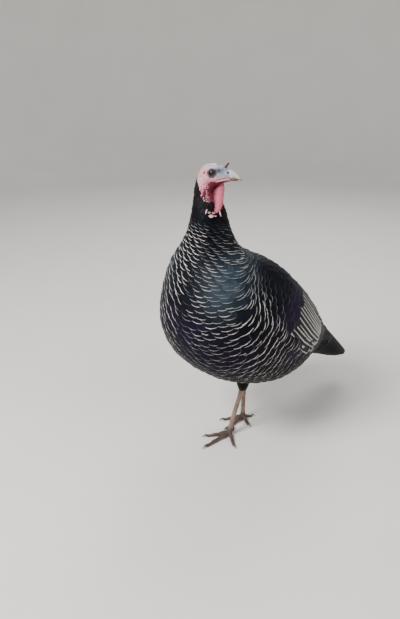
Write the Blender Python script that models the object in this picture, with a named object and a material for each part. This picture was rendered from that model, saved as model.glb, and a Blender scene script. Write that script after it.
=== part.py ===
"""A domestic turkey hen, standing with her head turned to her left, life size, in metres.

The bird faces -Y, her left side is +X and she stands on z = 0. The body is one lofted form,
from the tail tip over the trunk and up the neck to the bill, parted by thin cuts into its
named solids. The outline includes the feathers, out to their tips.
"""

import math

import bmesh
import bpy
import numpy as np

NAME = "turkey_hen"
GAP = 0.0003  # clear space between neighbouring solids
UNDER_WING = 0.0016  # clear space between the curved wing and the trunk

# The neck stands on a vertical axis. Reaches are measured forwards from it, in the
# direction that a ring faces, and rings turn from straight ahead to the head's heading.
NECK_AXIS_Y = -0.108
HEAD_TURN = 127.0  # degrees to the bird's left

# One ring per row, from the tail tip to the bill: the reach and height of its lowest or
# foremost point, of its highest or rearmost point, its half width, how far up that is
# (0 to 1), how full its corners are (2 is an ellipse) and its turn in degrees.
TAIL_TIP, TAIL_ROOT, NECK_BASE, NECK_TOP, BILL_BASE = 0, 3, 13, 17.4, 27
RINGS = np.array(
    [
        (-0.506, 0.090, -0.562, 0.094, 0.034, 0.5, 2.2, 0),  # tail tip
        (-0.458, 0.105, -0.525, 0.134, 0.046, 0.5, 2.0, 0),
        (-0.396, 0.128, -0.478, 0.184, 0.050, 0.5, 1.9, 0),
        (-0.334, 0.146, -0.430, 0.233, 0.054, 0.46, 1.9, 0),  # tail root
        (-0.286, 0.141, -0.404, 0.263, 0.074, 0.44, 2.0, 0),
        (-0.236, 0.138, -0.376, 0.290, 0.096, 0.42, 2.1, 0),  # rump and vent
        (-0.182, 0.141, -0.348, 0.316, 0.116, 0.41, 2.2, 0),
        (-0.122, 0.150, -0.320, 0.343, 0.134, 0.42, 2.3, 0),
        (-0.058, 0.171, -0.289, 0.374, 0.149, 0.43, 2.3, 0),  # belly
        (0.012, 0.207, -0.254, 0.406, 0.162, 0.45, 2.3, 0),
        (0.068, 0.261, -0.213, 0.440, 0.166, 0.47, 2.3, 0),
        (0.093, 0.328, -0.165, 0.476, 0.159, 0.49, 2.3, 0),  # widest breast
        (0.090, 0.398, -0.117, 0.507, 0.138, 0.5, 2.2, 2),
        (0.075, 0.462, -0.070, 0.532, 0.105, 0.5, 2.1, 10),  # neck base
        (0.057, 0.514, -0.048, 0.557, 0.072, 0.5, 2.0, 26),
        (0.046, 0.556, -0.043, 0.584, 0.053, 0.5, 2.0, 42),
        (0.041, 0.592, -0.042, 0.610, 0.044, 0.5, 2.0, 56),
        (0.036, 0.620, -0.040, 0.634, 0.037, 0.5, 2.0, 76),  # end of the neck's feathers
        (0.020, 0.644, -0.037, 0.654, 0.0275, 0.5, 2.0, 97),
        (0.012, 0.659, -0.034, 0.668, 0.0235, 0.5, 2.0, 113),
        (0.012, 0.669, -0.030, 0.682, 0.0225, 0.5, 2.0, 124),  # throat and nape
        (0.017, 0.6752, -0.0255, 0.700, 0.0218, 0.5, 2.1, HEAD_TURN),
        (0.024, 0.6792, -0.017, 0.7175, 0.0200, 0.5, 2.4, HEAD_TURN),
        (0.030, 0.6818, -0.002, 0.7250, 0.0180, 0.5, 2.5, HEAD_TURN),  # crown
        (0.036, 0.6838, 0.014, 0.7250, 0.0150, 0.5, 2.4, HEAD_TURN),
        (0.042, 0.6854, 0.027, 0.7212, 0.0122, 0.5, 2.2, HEAD_TURN),
        (0.047, 0.6866, 0.037, 0.7165, 0.0102, 0.5, 2.0, HEAD_TURN),
        (0.0505, 0.6876, 0.0455, 0.7120, 0.0088, 0.5, 2.0, HEAD_TURN),  # bill base
    ]
)

# The folded wing is a plate on the trunk. These are read along it, from shoulder to tip:
# ring number, angle round the body of its middle, half angle and depth off the body.
WING = np.array(
    [
        (13.1, 56, 6, 0.004),
        (12.5, 55, 25, 0.012),
        (11.4, 55, 32, 0.014),
        (10.0, 56, 33, 0.010),
        (8.4, 57, 32, 0.006),
        (6.8, 60, 29, 0.005),
        (5.2, 64, 26, 0.005),
        (3.8, 67, 23, 0.005),
        (2.7, 69, 18, 0.004),
        (2.0, 70, 8, 0.003),
    ]
)
WING_EDGE = 0.0022  # thickness of the wing's rim

# Head, in reach, side and height.
EYE = (0.0082, 0.0118, 0.7065)
EYE_RADIUS = 0.0075
GAPE_HEIGHT, GAPE_DROP = 0.6960, 0.0060  # where the bill's halves meet, and how far that bows
BILL_ROOT = (0.0509, 0.0050)  # reach of its lower corner, and how far its top starts behind
BILL_TIP, BILL_HOOK = (0.0722, 0.6925), 0.0020
LOWER_BILL_TIP = (0.0660, 0.6882)
BILL_TAPER = 0.86  # how much of its width the bill loses towards its tip
SNOOD_ROOT, SNOOD_LENGTH, SNOOD_RADIUS = (0.0370, 0.7200), 0.012, 0.0028

# The dewlap hangs from the chin down the front of the neck. From top to bottom: height,
# turn in degrees, reach of its free edge, reach of its root and half thickness.
DEWLAP = np.array(
    [
        (0.6785, HEAD_TURN, 0.0335, 0.0150, 0.0048),
        (0.6680, 122, 0.0345, 0.0080, 0.0068),
        (0.6560, 112, 0.0350, 0.0080, 0.0072),
        (0.6440, 98, 0.0385, 0.0140, 0.0072),
        (0.6320, 84, 0.0430, 0.0240, 0.0070),
        (0.6185, 68, 0.0460, 0.0320, 0.0052),
    ]
)
CARUNCLES = (  # reach, turn, height and radius of the beads under the dewlap
    (0.0430, 56, 0.6185, 0.0050),
    (0.0440, 68, 0.6165, 0.0050),
    (0.0430, 80, 0.6205, 0.0046),
)

# Legs. Each foot has its joint, its hock and where the shank goes into the belly.
TARSUS_RADIUS, HOCK_RADIUS, SHANK_RADIUS = 0.0058, 0.0088, 0.030
FEET = {
    "left": {
        "joint": (0.020, -0.048),
        "hock": (0.021, -0.004, 0.128),
        "shank": (0.050, -0.030, 0.235),
        "toes": {"inner": (-32, 0.062), "middle": (1, 0.084), "outer": (59, 0.054)},
        "hallux": (203, 0.028),
    },
    "right": {
        "joint": (-0.014, 0.036),
        "hock": (-0.021, 0.050, 0.128),
        "shank": (-0.050, 0.030, 0.235),
        "toes": {"inner": (70, 0.038), "middle": (9, 0.074), "outer": (-30, 0.056)},
        "hallux": (157, 0.027),
    },
}
ANKLE_HEIGHT = 0.013
TOE_RADIUS = {"inner": 0.0050, "middle": 0.0056, "outer": 0.0048, "hallux": 0.0042}
CLAW_LENGTH, CLAW_RADIUS = 0.015, 0.0030
PAD_RADIUS, PAD_HEIGHT = 0.0082, 0.0085
SOLE_CUT = 0.0011  # how much of each round toe is cut off flat underneath

COLOURS = {  # base colour, roughness
    "plumage": ((0.012, 0.013, 0.018, 1), 0.45),
    "head_skin": ((0.42, 0.30, 0.33, 1), 0.55),
    "throat_skin": ((0.45, 0.09, 0.12, 1), 0.5),
    "leg_scales": ((0.30, 0.20, 0.17, 1), 0.6),
    "horn": ((0.40, 0.34, 0.28, 1), 0.4),
    "eye": ((0.015, 0.010, 0.008, 1), 0.05),
}


def between(rows, at):
    """Smooth values between rows at fractional row numbers, by cubic Hermite curves whose
    slope at each row is half the step from the row before to the row after."""
    rows = np.asarray(rows, float)
    slopes = np.gradient(rows, axis=0)
    i = np.clip(np.floor(at).astype(int), 0, len(rows) - 2)
    u = (at - i)[..., None]
    return (
        (2 * u**3 - 3 * u**2 + 1) * rows[i]
        + (u**3 - 2 * u**2 + u) * slopes[i]
        + (3 * u**2 - 2 * u**3) * rows[i + 1]
        + (u**3 - u**2) * slopes[i + 1]
    )


def turned(reach, side, height, turn):
    """A place given by reach, side and height in a frame turned about the neck's axis."""
    turn = np.radians(turn)
    x = np.sin(turn) * reach + np.cos(turn) * side
    y = NECK_AXIS_Y - np.cos(turn) * reach + np.sin(turn) * side
    return np.stack(np.broadcast_arrays(x, y, height), -1)


def on_head(reach, side, height):
    return turned(reach, side, height, HEAD_TURN)


def body(ring, angle):
    """Points of the body form. The angle is 0 on the back and 180 degrees on the breast,
    and positive on the bird's left."""
    row = np.moveaxis(between(RINGS, ring), -1, 0)
    front, low, back, high, half, waist, full, turn = row
    c, s = np.cos(angle), np.sin(angle)
    radius = (np.abs(c) ** full + np.abs(s) ** full) ** (-1 / full)
    up = waist + np.where(c > 0, 1 - waist, waist) * radius * c
    return turned(
        front + (back - front) * up, radius * s * half, low + (high - low) * up, turn
    )


def body_normal(ring, angle):
    """Unit normals of the body form, pointing out."""
    step = 1e-3
    along = body(ring + step, angle) - body(ring - step, angle)
    around = body(ring, angle + step) - body(ring, angle - step)
    normal = np.cross(along, around)
    return normal / np.linalg.norm(normal, axis=-1, keepdims=True)


def material(slot):
    found = bpy.data.materials.get(slot)
    if found is None:
        found = bpy.data.materials.new(slot)
        found.use_nodes = True
        shader = found.node_tree.nodes["Principled BSDF"]
        colour, roughness = COLOURS[slot]
        shader.inputs["Base Color"].default_value = colour
        shader.inputs["Roughness"].default_value = roughness
        found.diffuse_color = colour
    return found


def add(name, mesh, slot, collection, smooth=True):
    """A new object with its material, from a bmesh."""
    bmesh.ops.recalc_face_normals(mesh, faces=mesh.faces)
    data = bpy.data.meshes.new(name)
    mesh.to_mesh(data)
    mesh.free()
    if smooth:
        data.shade_smooth()
    data.materials.append(material(slot))
    made = bpy.data.objects.new(name, data)
    collection.objects.link(made)
    return made


def loft(rings):
    """A closed bmesh through rings of points, each end closed by a fan to its middle."""
    rings = np.asarray(rings, float)
    count, around = rings.shape[:2]
    mesh = bmesh.new()
    rows = [[mesh.verts.new(p) for p in ring] for ring in rings]
    for a, b in zip(rows, rows[1:]):
        for j in range(around):
            k = (j + 1) % around
            mesh.faces.new((a[j], a[k], b[k]))
            mesh.faces.new((a[j], b[k], b[j]))
    for row, ring in ((rows[0], rings[0]), (rows[-1], rings[-1])):
        middle = mesh.verts.new(ring.mean(0))
        for j in range(around):
            mesh.faces.new((row[j], row[(j + 1) % around], middle))
    return mesh


def body_rings(first, last, count, around):
    ring = np.linspace(first, last, count)[:, None]
    angle = np.linspace(0, 2 * np.pi, around, endpoint=False)[None]
    return body(np.broadcast_to(ring, (count, around)), np.broadcast_to(angle, (count, around)))


def cut_back(rings, end, gap=GAP / 2):
    """Moves the last or first ring towards its neighbour by half a gap."""
    inside = -2 if end == -1 else 1
    step = rings[inside].mean(0) - rings[end].mean(0)
    rings[end] += step / np.linalg.norm(step) * gap
    return rings


def tube(path, radii, around, flatten=1.0):
    """Round or oval rings across a path, upright ones flattened by a factor."""
    path = np.asarray(path, float)
    ahead = np.gradient(path, axis=0)
    ahead /= np.linalg.norm(ahead, axis=1, keepdims=True)
    side = np.cross(ahead, (0.0, 0.0, 1.0))
    bare = np.linalg.norm(side, axis=1) < 0.2
    side[bare] = np.cross(ahead[bare], (0.0, 1.0, 0.0))
    side /= np.linalg.norm(side, axis=1, keepdims=True)
    up = np.cross(side, ahead)
    angle = np.linspace(0, 2 * np.pi, around, endpoint=False)
    radii = np.asarray(radii, float)[:, None, None]
    return path[:, None] + radii * (
        np.cos(angle)[None, :, None] * side[:, None]
        + flatten * np.sin(angle)[None, :, None] * up[:, None]
    )


def boolean(target, cutter, operation):
    cut = target.modifiers.new(operation.title(), "BOOLEAN")
    cut.operation = operation
    cut.solver = "EXACT"
    cut.object = cutter


def apply_modifiers(made):
    graph = bpy.context.evaluated_depsgraph_get()
    data = bpy.data.meshes.new_from_object(made.evaluated_get(graph))
    made.modifiers.clear()
    made.data = data


def as_cutter(made, cutters):
    for each in list(made.users_collection):
        each.objects.unlink(made)
    cutters.objects.link(made)
    made.hide_render = True
    made.display_type = "WIRE"
    return made


def swollen(source, name, by, cutters):
    """A copy of an object, pushed out along its normals, for cutting with a gap."""
    copy = source.data.copy()
    mesh = bmesh.new()
    mesh.from_mesh(copy)
    mesh.normal_update()
    for vert in mesh.verts:
        vert.co += vert.normal * by
    mesh.to_mesh(copy)
    mesh.free()
    made = bpy.data.objects.new(name, copy)
    cutters.objects.link(made)
    return as_cutter(made, cutters)


def trunk_neck_tail(parts):
    tail = cut_back(body_rings(TAIL_TIP, TAIL_ROOT, 9, 20), -1)
    add("tail", loft(tail), "plumage", parts)
    trunk = body_rings(TAIL_ROOT, NECK_BASE, 25, 32)
    trunk = cut_back(cut_back(trunk, 0), -1)
    add("trunk", loft(trunk), "plumage", parts)
    neck = body_rings(NECK_BASE, NECK_TOP, 11, 28)
    neck = cut_back(cut_back(neck, 0), -1)
    add("neck", loft(neck), "plumage", parts)


def wing(side, sign, parts):
    """A plate over the trunk: its inner face follows the body, its outer face bulges, and
    both meet in a rim."""
    along, across = 21, 8
    u = np.linspace(0, len(WING) - 1, along)
    ring, middle, half, depth = between(WING, u).T
    v = np.linspace(-1, 1, across)
    ring = np.broadcast_to(ring[:, None], (along, across))
    angle = sign * np.radians(middle[:, None] + half[:, None] * v[None])
    inner = body(ring, angle)
    normal = body_normal(ring, angle)
    lift = WING_EDGE + (depth[:, None] - WING_EDGE) * np.sqrt(1 - 0.98 * v[None] ** 2)
    rows = np.concatenate(
        [inner + normal * UNDER_WING, (inner + normal * (UNDER_WING + lift)[..., None])[:, ::-1]],
        axis=1,
    )
    add("wing_" + side, loft(rows), "plumage", parts)


def head(parts, cutters):
    rings = cut_back(body_rings(NECK_TOP, BILL_BASE, 22, 24), 0)
    made = add("head", loft(rings), "head_skin", parts)
    for side, sign in (("left", 1), ("right", -1)):
        place = on_head(EYE[0], sign * EYE[1], EYE[2])
        for name, radius, home in (
            ("eye_" + side, EYE_RADIUS, parts),
            ("socket_" + side, EYE_RADIUS + GAP, cutters),
        ):
            ball = bmesh.new()
            bmesh.ops.create_uvsphere(ball, u_segments=12, v_segments=8, radius=radius)
            bmesh.ops.translate(ball, verts=ball.verts, vec=place)
            add(name, ball, "eye", home)
        boolean(made, as_cutter(bpy.data.objects["socket_" + side], cutters), "DIFFERENCE")
    apply_modifiers(made)


def bill(parts):
    """Two lofts from half-round sections at the face to their blunt tips, which meet along
    a line that bows down. The upper one hooks over the lower."""
    _, low, _, high, half = RINGS[BILL_BASE, :5]
    root, lean = BILL_ROOT
    angle = np.linspace(0, np.pi, 9)
    for name, tip, top, clear, hook in (
        ("bill_upper", BILL_TIP, high - 2 * GAP, 0.0, BILL_HOOK),
        ("bill_lower", LOWER_BILL_TIP, low + GAP, GAP, 0.0),
    ):
        rings = []
        for u in np.linspace(0, 1, 8):
            reach = root + (tip[0] - root) * u
            bow = ((reach - root) / (BILL_TIP[0] - root)) ** 1.5
            edge = GAPE_HEIGHT - clear - GAPE_DROP * bow - hook * u**9
            crest = top + (tip[1] - top) * u**1.6
            side = (half - 2 * GAP) * (1 - BILL_TAPER * u**1.7) * np.cos(angle)
            height = edge + (crest - edge) * np.sin(angle) * (1.0 if u < 1 else 0.8)
            back = lean * (height - low) / (high - low) * (1 - u)
            rings.append(on_head(reach - back, side, height))
        add(name, loft(rings), "horn", parts)


def snood(parts):
    u = np.linspace(0, 1, 7)
    reach = SNOOD_ROOT[0] + SNOOD_LENGTH * (0.55 * u + 0.10 * u**2)
    height = SNOOD_ROOT[1] + SNOOD_LENGTH * (0.85 * u - 0.15 * u**2)
    radii = SNOOD_RADIUS * np.sqrt(np.clip(1 - (u * 0.97) ** 4, 0.03, 1))
    add("snood", loft(tube(on_head(reach, 0.0, height), radii, 10)), "throat_skin", parts)


def dewlap(parts, cutters):
    """The throat's hanging flap of bare skin, with the round caruncles under it."""
    rows = between(DEWLAP, np.linspace(0, len(DEWLAP) - 1, 11))
    height, turn, free, root, half = rows.T[:, :, None]
    angle = np.linspace(0, 2 * np.pi, 12, endpoint=False)
    reach = (free + root) / 2 + (free - root) / 2 * np.cos(angle)
    rings = turned(reach, half * np.sin(angle), height, turn)
    made = add("dewlap", loft(rings), "throat_skin", parts)
    for number, (reach, turn, height, radius) in enumerate(CARUNCLES):
        ball = bmesh.new()
        bmesh.ops.create_icosphere(ball, subdivisions=2, radius=radius)
        bmesh.ops.translate(ball, verts=ball.verts, vec=turned(reach, 0.0, height, turn))
        bead = as_cutter(add(f"caruncle_{number}", ball, "throat_skin", cutters), cutters)
        boolean(made, bead, "UNION")
    for name in ("neck", "head"):
        cutter = swollen(bpy.data.objects[name], "clear_" + name, GAP, cutters)
        boolean(made, cutter, "DIFFERENCE")
    apply_modifiers(made)


def toe(joint, heading, length, radius, around=7):
    """Rings along one toe, from inside the ankle to behind the claw, over its knuckles."""
    heading = math.radians(heading)
    u = np.linspace(0, 1, 8)
    x = joint[0] + math.sin(heading) * length * u
    y = joint[1] - math.cos(heading) * length * u
    thick = radius * (1.12 - 0.36 * u + 0.07 * np.cos(6 * np.pi * u))
    thick[-1] *= 0.72
    arch = (ANKLE_HEIGHT - radius) * (1 - u) ** 2.2
    path = np.stack([x, y, thick - SOLE_CUT + arch], -1)
    return tube(path, thick, around)


def claw(joint, heading, length, radius):
    """Rings of one claw, a cone that bends down to just above the floor."""
    heading = math.radians(heading)
    u = np.linspace(0, 1, 5)
    start = length + 0.0006
    reach = start + CLAW_LENGTH * radius / TOE_RADIUS["middle"] * (u - 0.12 * u**2)
    x = joint[0] + math.sin(heading) * reach
    y = joint[1] - math.cos(heading) * reach
    thick = CLAW_RADIUS * radius / TOE_RADIUS["middle"] * (1 - 0.86 * u)
    height = thick + 0.0016 + 0.0022 * (1 - u) + 0.0022 * np.sin(np.pi * u) - 0.0012 * u
    return tube(np.stack([x, y, height], -1), thick, 6)


def leg(side, parts, cutters):
    foot = FEET[side]
    joint = foot["joint"]
    hock = np.array(foot["hock"])
    ankle = np.array([*joint, ANKLE_HEIGHT])
    toes = {**foot["toes"], "hallux": foot["hallux"]}
    made = None
    for name, (heading, length) in toes.items():
        radius = TOE_RADIUS[name]
        rings = toe(joint, heading, length, radius)
        each = add(f"toe_{side}_{name}", loft(rings), "leg_scales", parts)
        add(f"claw_{side}_{name}", loft(claw(joint, heading, length, radius)), "horn", parts)
        if made is None:
            made = each
        else:
            boolean(made, as_cutter(each, cutters), "UNION")
    made.name = "foot_" + side
    pad = bmesh.new()
    bmesh.ops.create_uvsphere(pad, u_segments=10, v_segments=8, radius=PAD_RADIUS)
    bmesh.ops.translate(pad, verts=pad.verts, vec=(*joint, PAD_HEIGHT))
    boolean(made, as_cutter(add("pad_" + side, pad, "leg_scales", cutters), cutters), "UNION")

    # The tarsus bows forwards a little and swells at both ends. Its lowest part belongs
    # to the foot, and the feathered shank starts where it ends.
    u = np.linspace(0, 1, 13)
    path = ankle + (hock - ankle) * u[:, None]
    path[:, 1] -= np.sin(np.pi * u) * 0.0025
    swell = 1 + 0.30 * np.exp(-((u / 0.10) ** 2)) + 0.52 * np.exp(-(((u - 1) / 0.13) ** 2))
    rings = tube(path, TARSUS_RADIUS * swell, 11)
    stub = as_cutter(add("ankle_" + side, loft(rings[:2]), "leg_scales", cutters), cutters)
    boolean(made, stub, "UNION")
    apply_modifiers(made)
    flat_soles(made)
    rings = cut_back(rings[1:], 0, GAP)
    rings[-1][:, 2] = hock[2] - GAP / 2
    add("tarsus_" + side, loft(rings), "leg_scales", parts)

    top = np.array(foot["shank"])
    u = np.linspace(0, 1, 9)
    path = hock + (top - hock) * u[:, None]
    radii = HOCK_RADIUS * 1.3 + (SHANK_RADIUS - HOCK_RADIUS * 1.3) * u**1.1
    rings = tube(path, radii, 14)
    rings[0][:, 2] = hock[2] + GAP / 2
    shank = add("thigh_" + side, loft(rings), "plumage", parts)
    clear = swollen(bpy.data.objects["trunk"], "clear_trunk_" + side, 2 * GAP, cutters)
    boolean(shank, clear, "DIFFERENCE")
    apply_modifiers(shank)


def flat_soles(made):
    """Cuts a foot level on the floor and closes the cut."""
    mesh = bmesh.new()
    mesh.from_mesh(made.data)
    everything = mesh.verts[:] + mesh.edges[:] + mesh.faces[:]
    bmesh.ops.bisect_plane(
        mesh, geom=everything, plane_co=(0, 0, 0), plane_no=(0, 0, 1), clear_inner=True
    )
    bmesh.ops.holes_fill(mesh, edges=[e for e in mesh.edges if e.is_boundary], sides=0)
    bmesh.ops.triangulate(mesh, faces=mesh.faces)
    mesh.to_mesh(made.data)
    mesh.free()


def centre_on_floor(parts):
    """Puts the origin under the middle of the whole bird, at floor level."""
    corners = np.concatenate(
        [np.array([v.co for v in each.data.vertices]) for each in parts.objects]
    )
    middle = (corners.min(0) + corners.max(0)) / 2
    for each in parts.objects:
        each.data.transform(each.matrix_world)
        for vert in each.data.vertices:
            vert.co.x -= middle[0]
            vert.co.y -= middle[1]


def main():
    for each in list(bpy.data.objects):
        bpy.data.objects.remove(each, do_unlink=True)
    parts = bpy.data.collections.new(NAME)
    cutters = bpy.data.collections.new("cutters")
    for each in (parts, cutters):
        bpy.context.scene.collection.children.link(each)
    trunk_neck_tail(parts)
    for side, sign in (("left", 1), ("right", -1)):
        wing(side, sign, parts)
        leg(side, parts, cutters)
    head(parts, cutters)
    bill(parts)
    snood(parts)
    dewlap(parts, cutters)
    centre_on_floor(parts)


main()
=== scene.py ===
"""The looks of a life-size domestic turkey hen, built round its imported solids, in metres.

One skin takes the place of the flesh. Feathers are thin closed vanes laid over it like tiles,
from the neck to the tail, along the lie of the plumage. Eyes, bill and claws are pieces of
their own. The bird faces -Y, its left is +X and it stands on z = 0.
"""

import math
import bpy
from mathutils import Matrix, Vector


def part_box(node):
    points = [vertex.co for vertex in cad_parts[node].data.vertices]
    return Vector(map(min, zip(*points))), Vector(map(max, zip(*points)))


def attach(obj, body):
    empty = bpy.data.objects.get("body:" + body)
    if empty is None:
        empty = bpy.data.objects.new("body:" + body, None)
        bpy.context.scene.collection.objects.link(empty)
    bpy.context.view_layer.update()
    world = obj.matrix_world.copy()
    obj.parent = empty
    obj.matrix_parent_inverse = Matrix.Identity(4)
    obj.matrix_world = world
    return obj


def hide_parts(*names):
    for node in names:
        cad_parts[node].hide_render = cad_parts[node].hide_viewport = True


bl_info = {
    "name": "Turkey Hen",
    "version": (1, 0, 0),
    "blender": (4, 5, 0),
    "location": "3D View > Sidebar > Turkey",
    "description": "Skin, feathers, horn and eyes of a standing turkey hen",
    "category": "Object",
}

import bpy
import numpy as np

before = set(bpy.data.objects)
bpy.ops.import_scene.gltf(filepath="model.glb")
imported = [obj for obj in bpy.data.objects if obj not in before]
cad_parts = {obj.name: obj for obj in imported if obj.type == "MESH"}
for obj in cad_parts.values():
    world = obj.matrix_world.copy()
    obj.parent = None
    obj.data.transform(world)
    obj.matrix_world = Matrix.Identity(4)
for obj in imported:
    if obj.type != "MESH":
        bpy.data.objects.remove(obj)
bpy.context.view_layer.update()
ROOT = "root"  # the one body of a still model
SIDES = (("left", 1), ("right", -1))

# ------------------------------------------------------------------ the bird's form
# Named sizes as in the solids, apart from the end of the throat flap, its growths and the rim
# of the wing. One ring per row, from the tail tip to the bill: reach and height of its foremost
# point, of its rearmost point, half width, how far up that is, fullness of its corners and turn
# in degrees. Places between rings have fractional numbers.
HEAD_TURN = 127.0
RINGS = np.array(
    [
        (-0.506, 0.090, -0.562, 0.094, 0.034, 0.5, 2.2, 0),  # tail tip
        (-0.458, 0.105, -0.525, 0.134, 0.046, 0.5, 2.0, 0),
        (-0.396, 0.128, -0.478, 0.184, 0.050, 0.5, 1.9, 0),
        (-0.334, 0.146, -0.430, 0.233, 0.054, 0.46, 1.9, 0),  # tail root
        (-0.286, 0.141, -0.404, 0.263, 0.074, 0.44, 2.0, 0),
        (-0.236, 0.138, -0.376, 0.290, 0.096, 0.42, 2.1, 0),  # rump and vent
        (-0.182, 0.141, -0.348, 0.316, 0.116, 0.41, 2.2, 0),
        (-0.122, 0.150, -0.320, 0.343, 0.134, 0.42, 2.3, 0),
        (-0.058, 0.171, -0.289, 0.374, 0.149, 0.43, 2.3, 0),  # belly
        (0.012, 0.207, -0.254, 0.406, 0.162, 0.45, 2.3, 0),
        (0.068, 0.261, -0.213, 0.440, 0.166, 0.47, 2.3, 0),
        (0.093, 0.328, -0.165, 0.476, 0.159, 0.49, 2.3, 0),  # widest breast
        (0.090, 0.398, -0.117, 0.507, 0.138, 0.5, 2.2, 2),
        (0.075, 0.462, -0.070, 0.532, 0.105, 0.5, 2.1, 10),  # neck base
        (0.057, 0.514, -0.048, 0.557, 0.072, 0.5, 2.0, 26),
        (0.046, 0.556, -0.043, 0.584, 0.053, 0.5, 2.0, 42),
        (0.041, 0.592, -0.042, 0.610, 0.044, 0.5, 2.0, 56),
        (0.036, 0.620, -0.040, 0.634, 0.037, 0.5, 2.0, 76),  # end of the neck's feathers
        (0.020, 0.644, -0.037, 0.654, 0.0275, 0.5, 2.0, 97),
        (0.012, 0.659, -0.034, 0.668, 0.0235, 0.5, 2.0, 113),
        (0.012, 0.669, -0.030, 0.682, 0.0225, 0.5, 2.0, 124),  # throat and nape
        (0.017, 0.6752, -0.0255, 0.700, 0.0218, 0.5, 2.1, HEAD_TURN),
        (0.024, 0.6792, -0.017, 0.7175, 0.0200, 0.5, 2.4, HEAD_TURN),
        (0.030, 0.6818, -0.002, 0.7250, 0.0180, 0.5, 2.5, HEAD_TURN),  # crown
        (0.036, 0.6838, 0.014, 0.7250, 0.0150, 0.5, 2.4, HEAD_TURN),
        (0.042, 0.6854, 0.027, 0.7212, 0.0122, 0.5, 2.2, HEAD_TURN),
        (0.047, 0.6866, 0.037, 0.7165, 0.0102, 0.5, 2.0, HEAD_TURN),
        (0.0505, 0.6876, 0.0455, 0.7120, 0.0088, 0.5, 2.0, HEAD_TURN),  # bill base
    ]
)
NECK_BASE, BILL_BASE = 13, len(RINGS) - 1

# Along the folded wing, from shoulder to tip: ring, angle round the body of its middle, half
# angle and depth off the body.
WING = np.array(
    [
        (13.1, 56, 6, 0.004),
        (12.5, 55, 25, 0.012),
        (11.4, 55, 32, 0.014),
        (10.0, 56, 33, 0.010),
        (8.4, 57, 32, 0.006),
        (6.8, 60, 29, 0.005),
        (5.2, 64, 26, 0.005),
        (3.8, 67, 23, 0.005),
        (2.7, 69, 18, 0.004),
        (2.0, 70, 8, 0.003),
    ]
)
WING_FRONT, WING_REAR = WING[0, 0], WING[-1, 0]
WING_RIM = 0.0038  # how far its rim stands out
WING_ROW = 0.062  # about how far its rows are apart
WING_RADIUS = 0.15  # of the body under its front

EYE = (0.0082, 0.0118, 0.7065)  # reach, side and height in the head's frame
EYE_RADIUS = 0.0075
GAPE_HEIGHT, GAPE_DROP = 0.6960, 0.0060  # where the bill's halves meet, and how far that bows
GAPE_CORNER = (0.0173, 0.6906)  # reach and height of the mouth's rear corner
BILL_ROOT = (0.0509, 0.0050)  # reach of its lower corner, and how far its top starts behind
BILL_TIP, BILL_HOOK = (0.0722, 0.6925), 0.0020
LOWER_BILL_TIP = (0.0660, 0.6882)
BILL_TAPER = 0.86  # share of its width that the bill loses towards its tip
NOSTRIL, NOSTRIL_SIZE = (0.0428, 0.7066), (0.0032, 0.0020)
EAR = (-0.0088, 0.7065)
SNOOD_ROOT, SNOOD_LENGTH, SNOOD_RADIUS = (0.0370, 0.7200), 0.012, 0.0028
DEWLAP = np.array(  # height, turn, reach of its free edge and of its root, half thickness
    [
        (0.6785, HEAD_TURN, 0.0335, 0.0150, 0.0048),
        (0.6680, 122, 0.0345, 0.0080, 0.0068),
        (0.6560, 112, 0.0350, 0.0080, 0.0072),
        (0.6440, 98, 0.0385, 0.0140, 0.0072),
        (0.6320, 84, 0.0430, 0.0240, 0.0070),
        (0.6215, 69, 0.0455, 0.0305, 0.0052),
    ]
)
CARUNCLES = (  # reach, turn, height and radius of the beads under the dewlap, the largest first
    (0.0425, 54, 0.6170, 0.0056),
    (0.0430, 61, 0.6245, 0.0038),
    (0.0405, 48, 0.6250, 0.0036),
    (0.0440, 66, 0.6175, 0.0034),
)
TASSELS = (  # reach, turn, height, length and lean of the tapered growths beside them
    (0.0412, 41, 0.6320, 0.0110, -4),
    (0.0450, 78, 0.6275, 0.0130, 4),
)
TASSEL_RADIUS = 0.0018

TARSUS_RADIUS, HOCK_RADIUS, SHANK_RADIUS = 0.0058, 0.0088, 0.030
FEET = {  # places from the point between the feet; heading in degrees and length of each toe
    "left": {
        "joint": (0.020, -0.048),
        "hock": (0.021, -0.004, 0.128),
        "shank": (0.050, -0.030, 0.235),
        "toes": {
            "inner": (-32, 0.062),
            "middle": (1, 0.084),
            "outer": (59, 0.054),
            "hallux": (203, 0.028),
        },
    },
    "right": {
        "joint": (-0.014, 0.036),
        "hock": (-0.021, 0.050, 0.128),
        "shank": (-0.050, 0.030, 0.235),
        "toes": {
            "inner": (70, 0.038),
            "middle": (9, 0.074),
            "outer": (-30, 0.056),
            "hallux": (157, 0.027),
        },
    },
}
ANKLE_HEIGHT = 0.013
TOE_RADIUS = {"inner": 0.0050, "middle": 0.0056, "outer": 0.0048, "hallux": 0.0042}
CLAW_LENGTH, CLAW_RADIUS = 0.015, 0.0030
PAD_RADIUS, PAD_HEIGHT = 0.0082, 0.0085
SOLE_CUT = 0.0011  # how much of each round toe is cut off flat underneath

# The neck's axis is found from the left eye, and the point between the feet from the axis.
_TURN = math.radians(HEAD_TURN)
NECK_AXIS = np.mean(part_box("eye_left"), axis=0)[:2] - (
    math.sin(_TURN) * EYE[0] + math.cos(_TURN) * EYE[1],
    -math.cos(_TURN) * EYE[0] + math.sin(_TURN) * EYE[1],
)
BETWEEN_FEET = np.array([NECK_AXIS[0], NECK_AXIS[1] + 0.108, 0.0])


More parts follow.
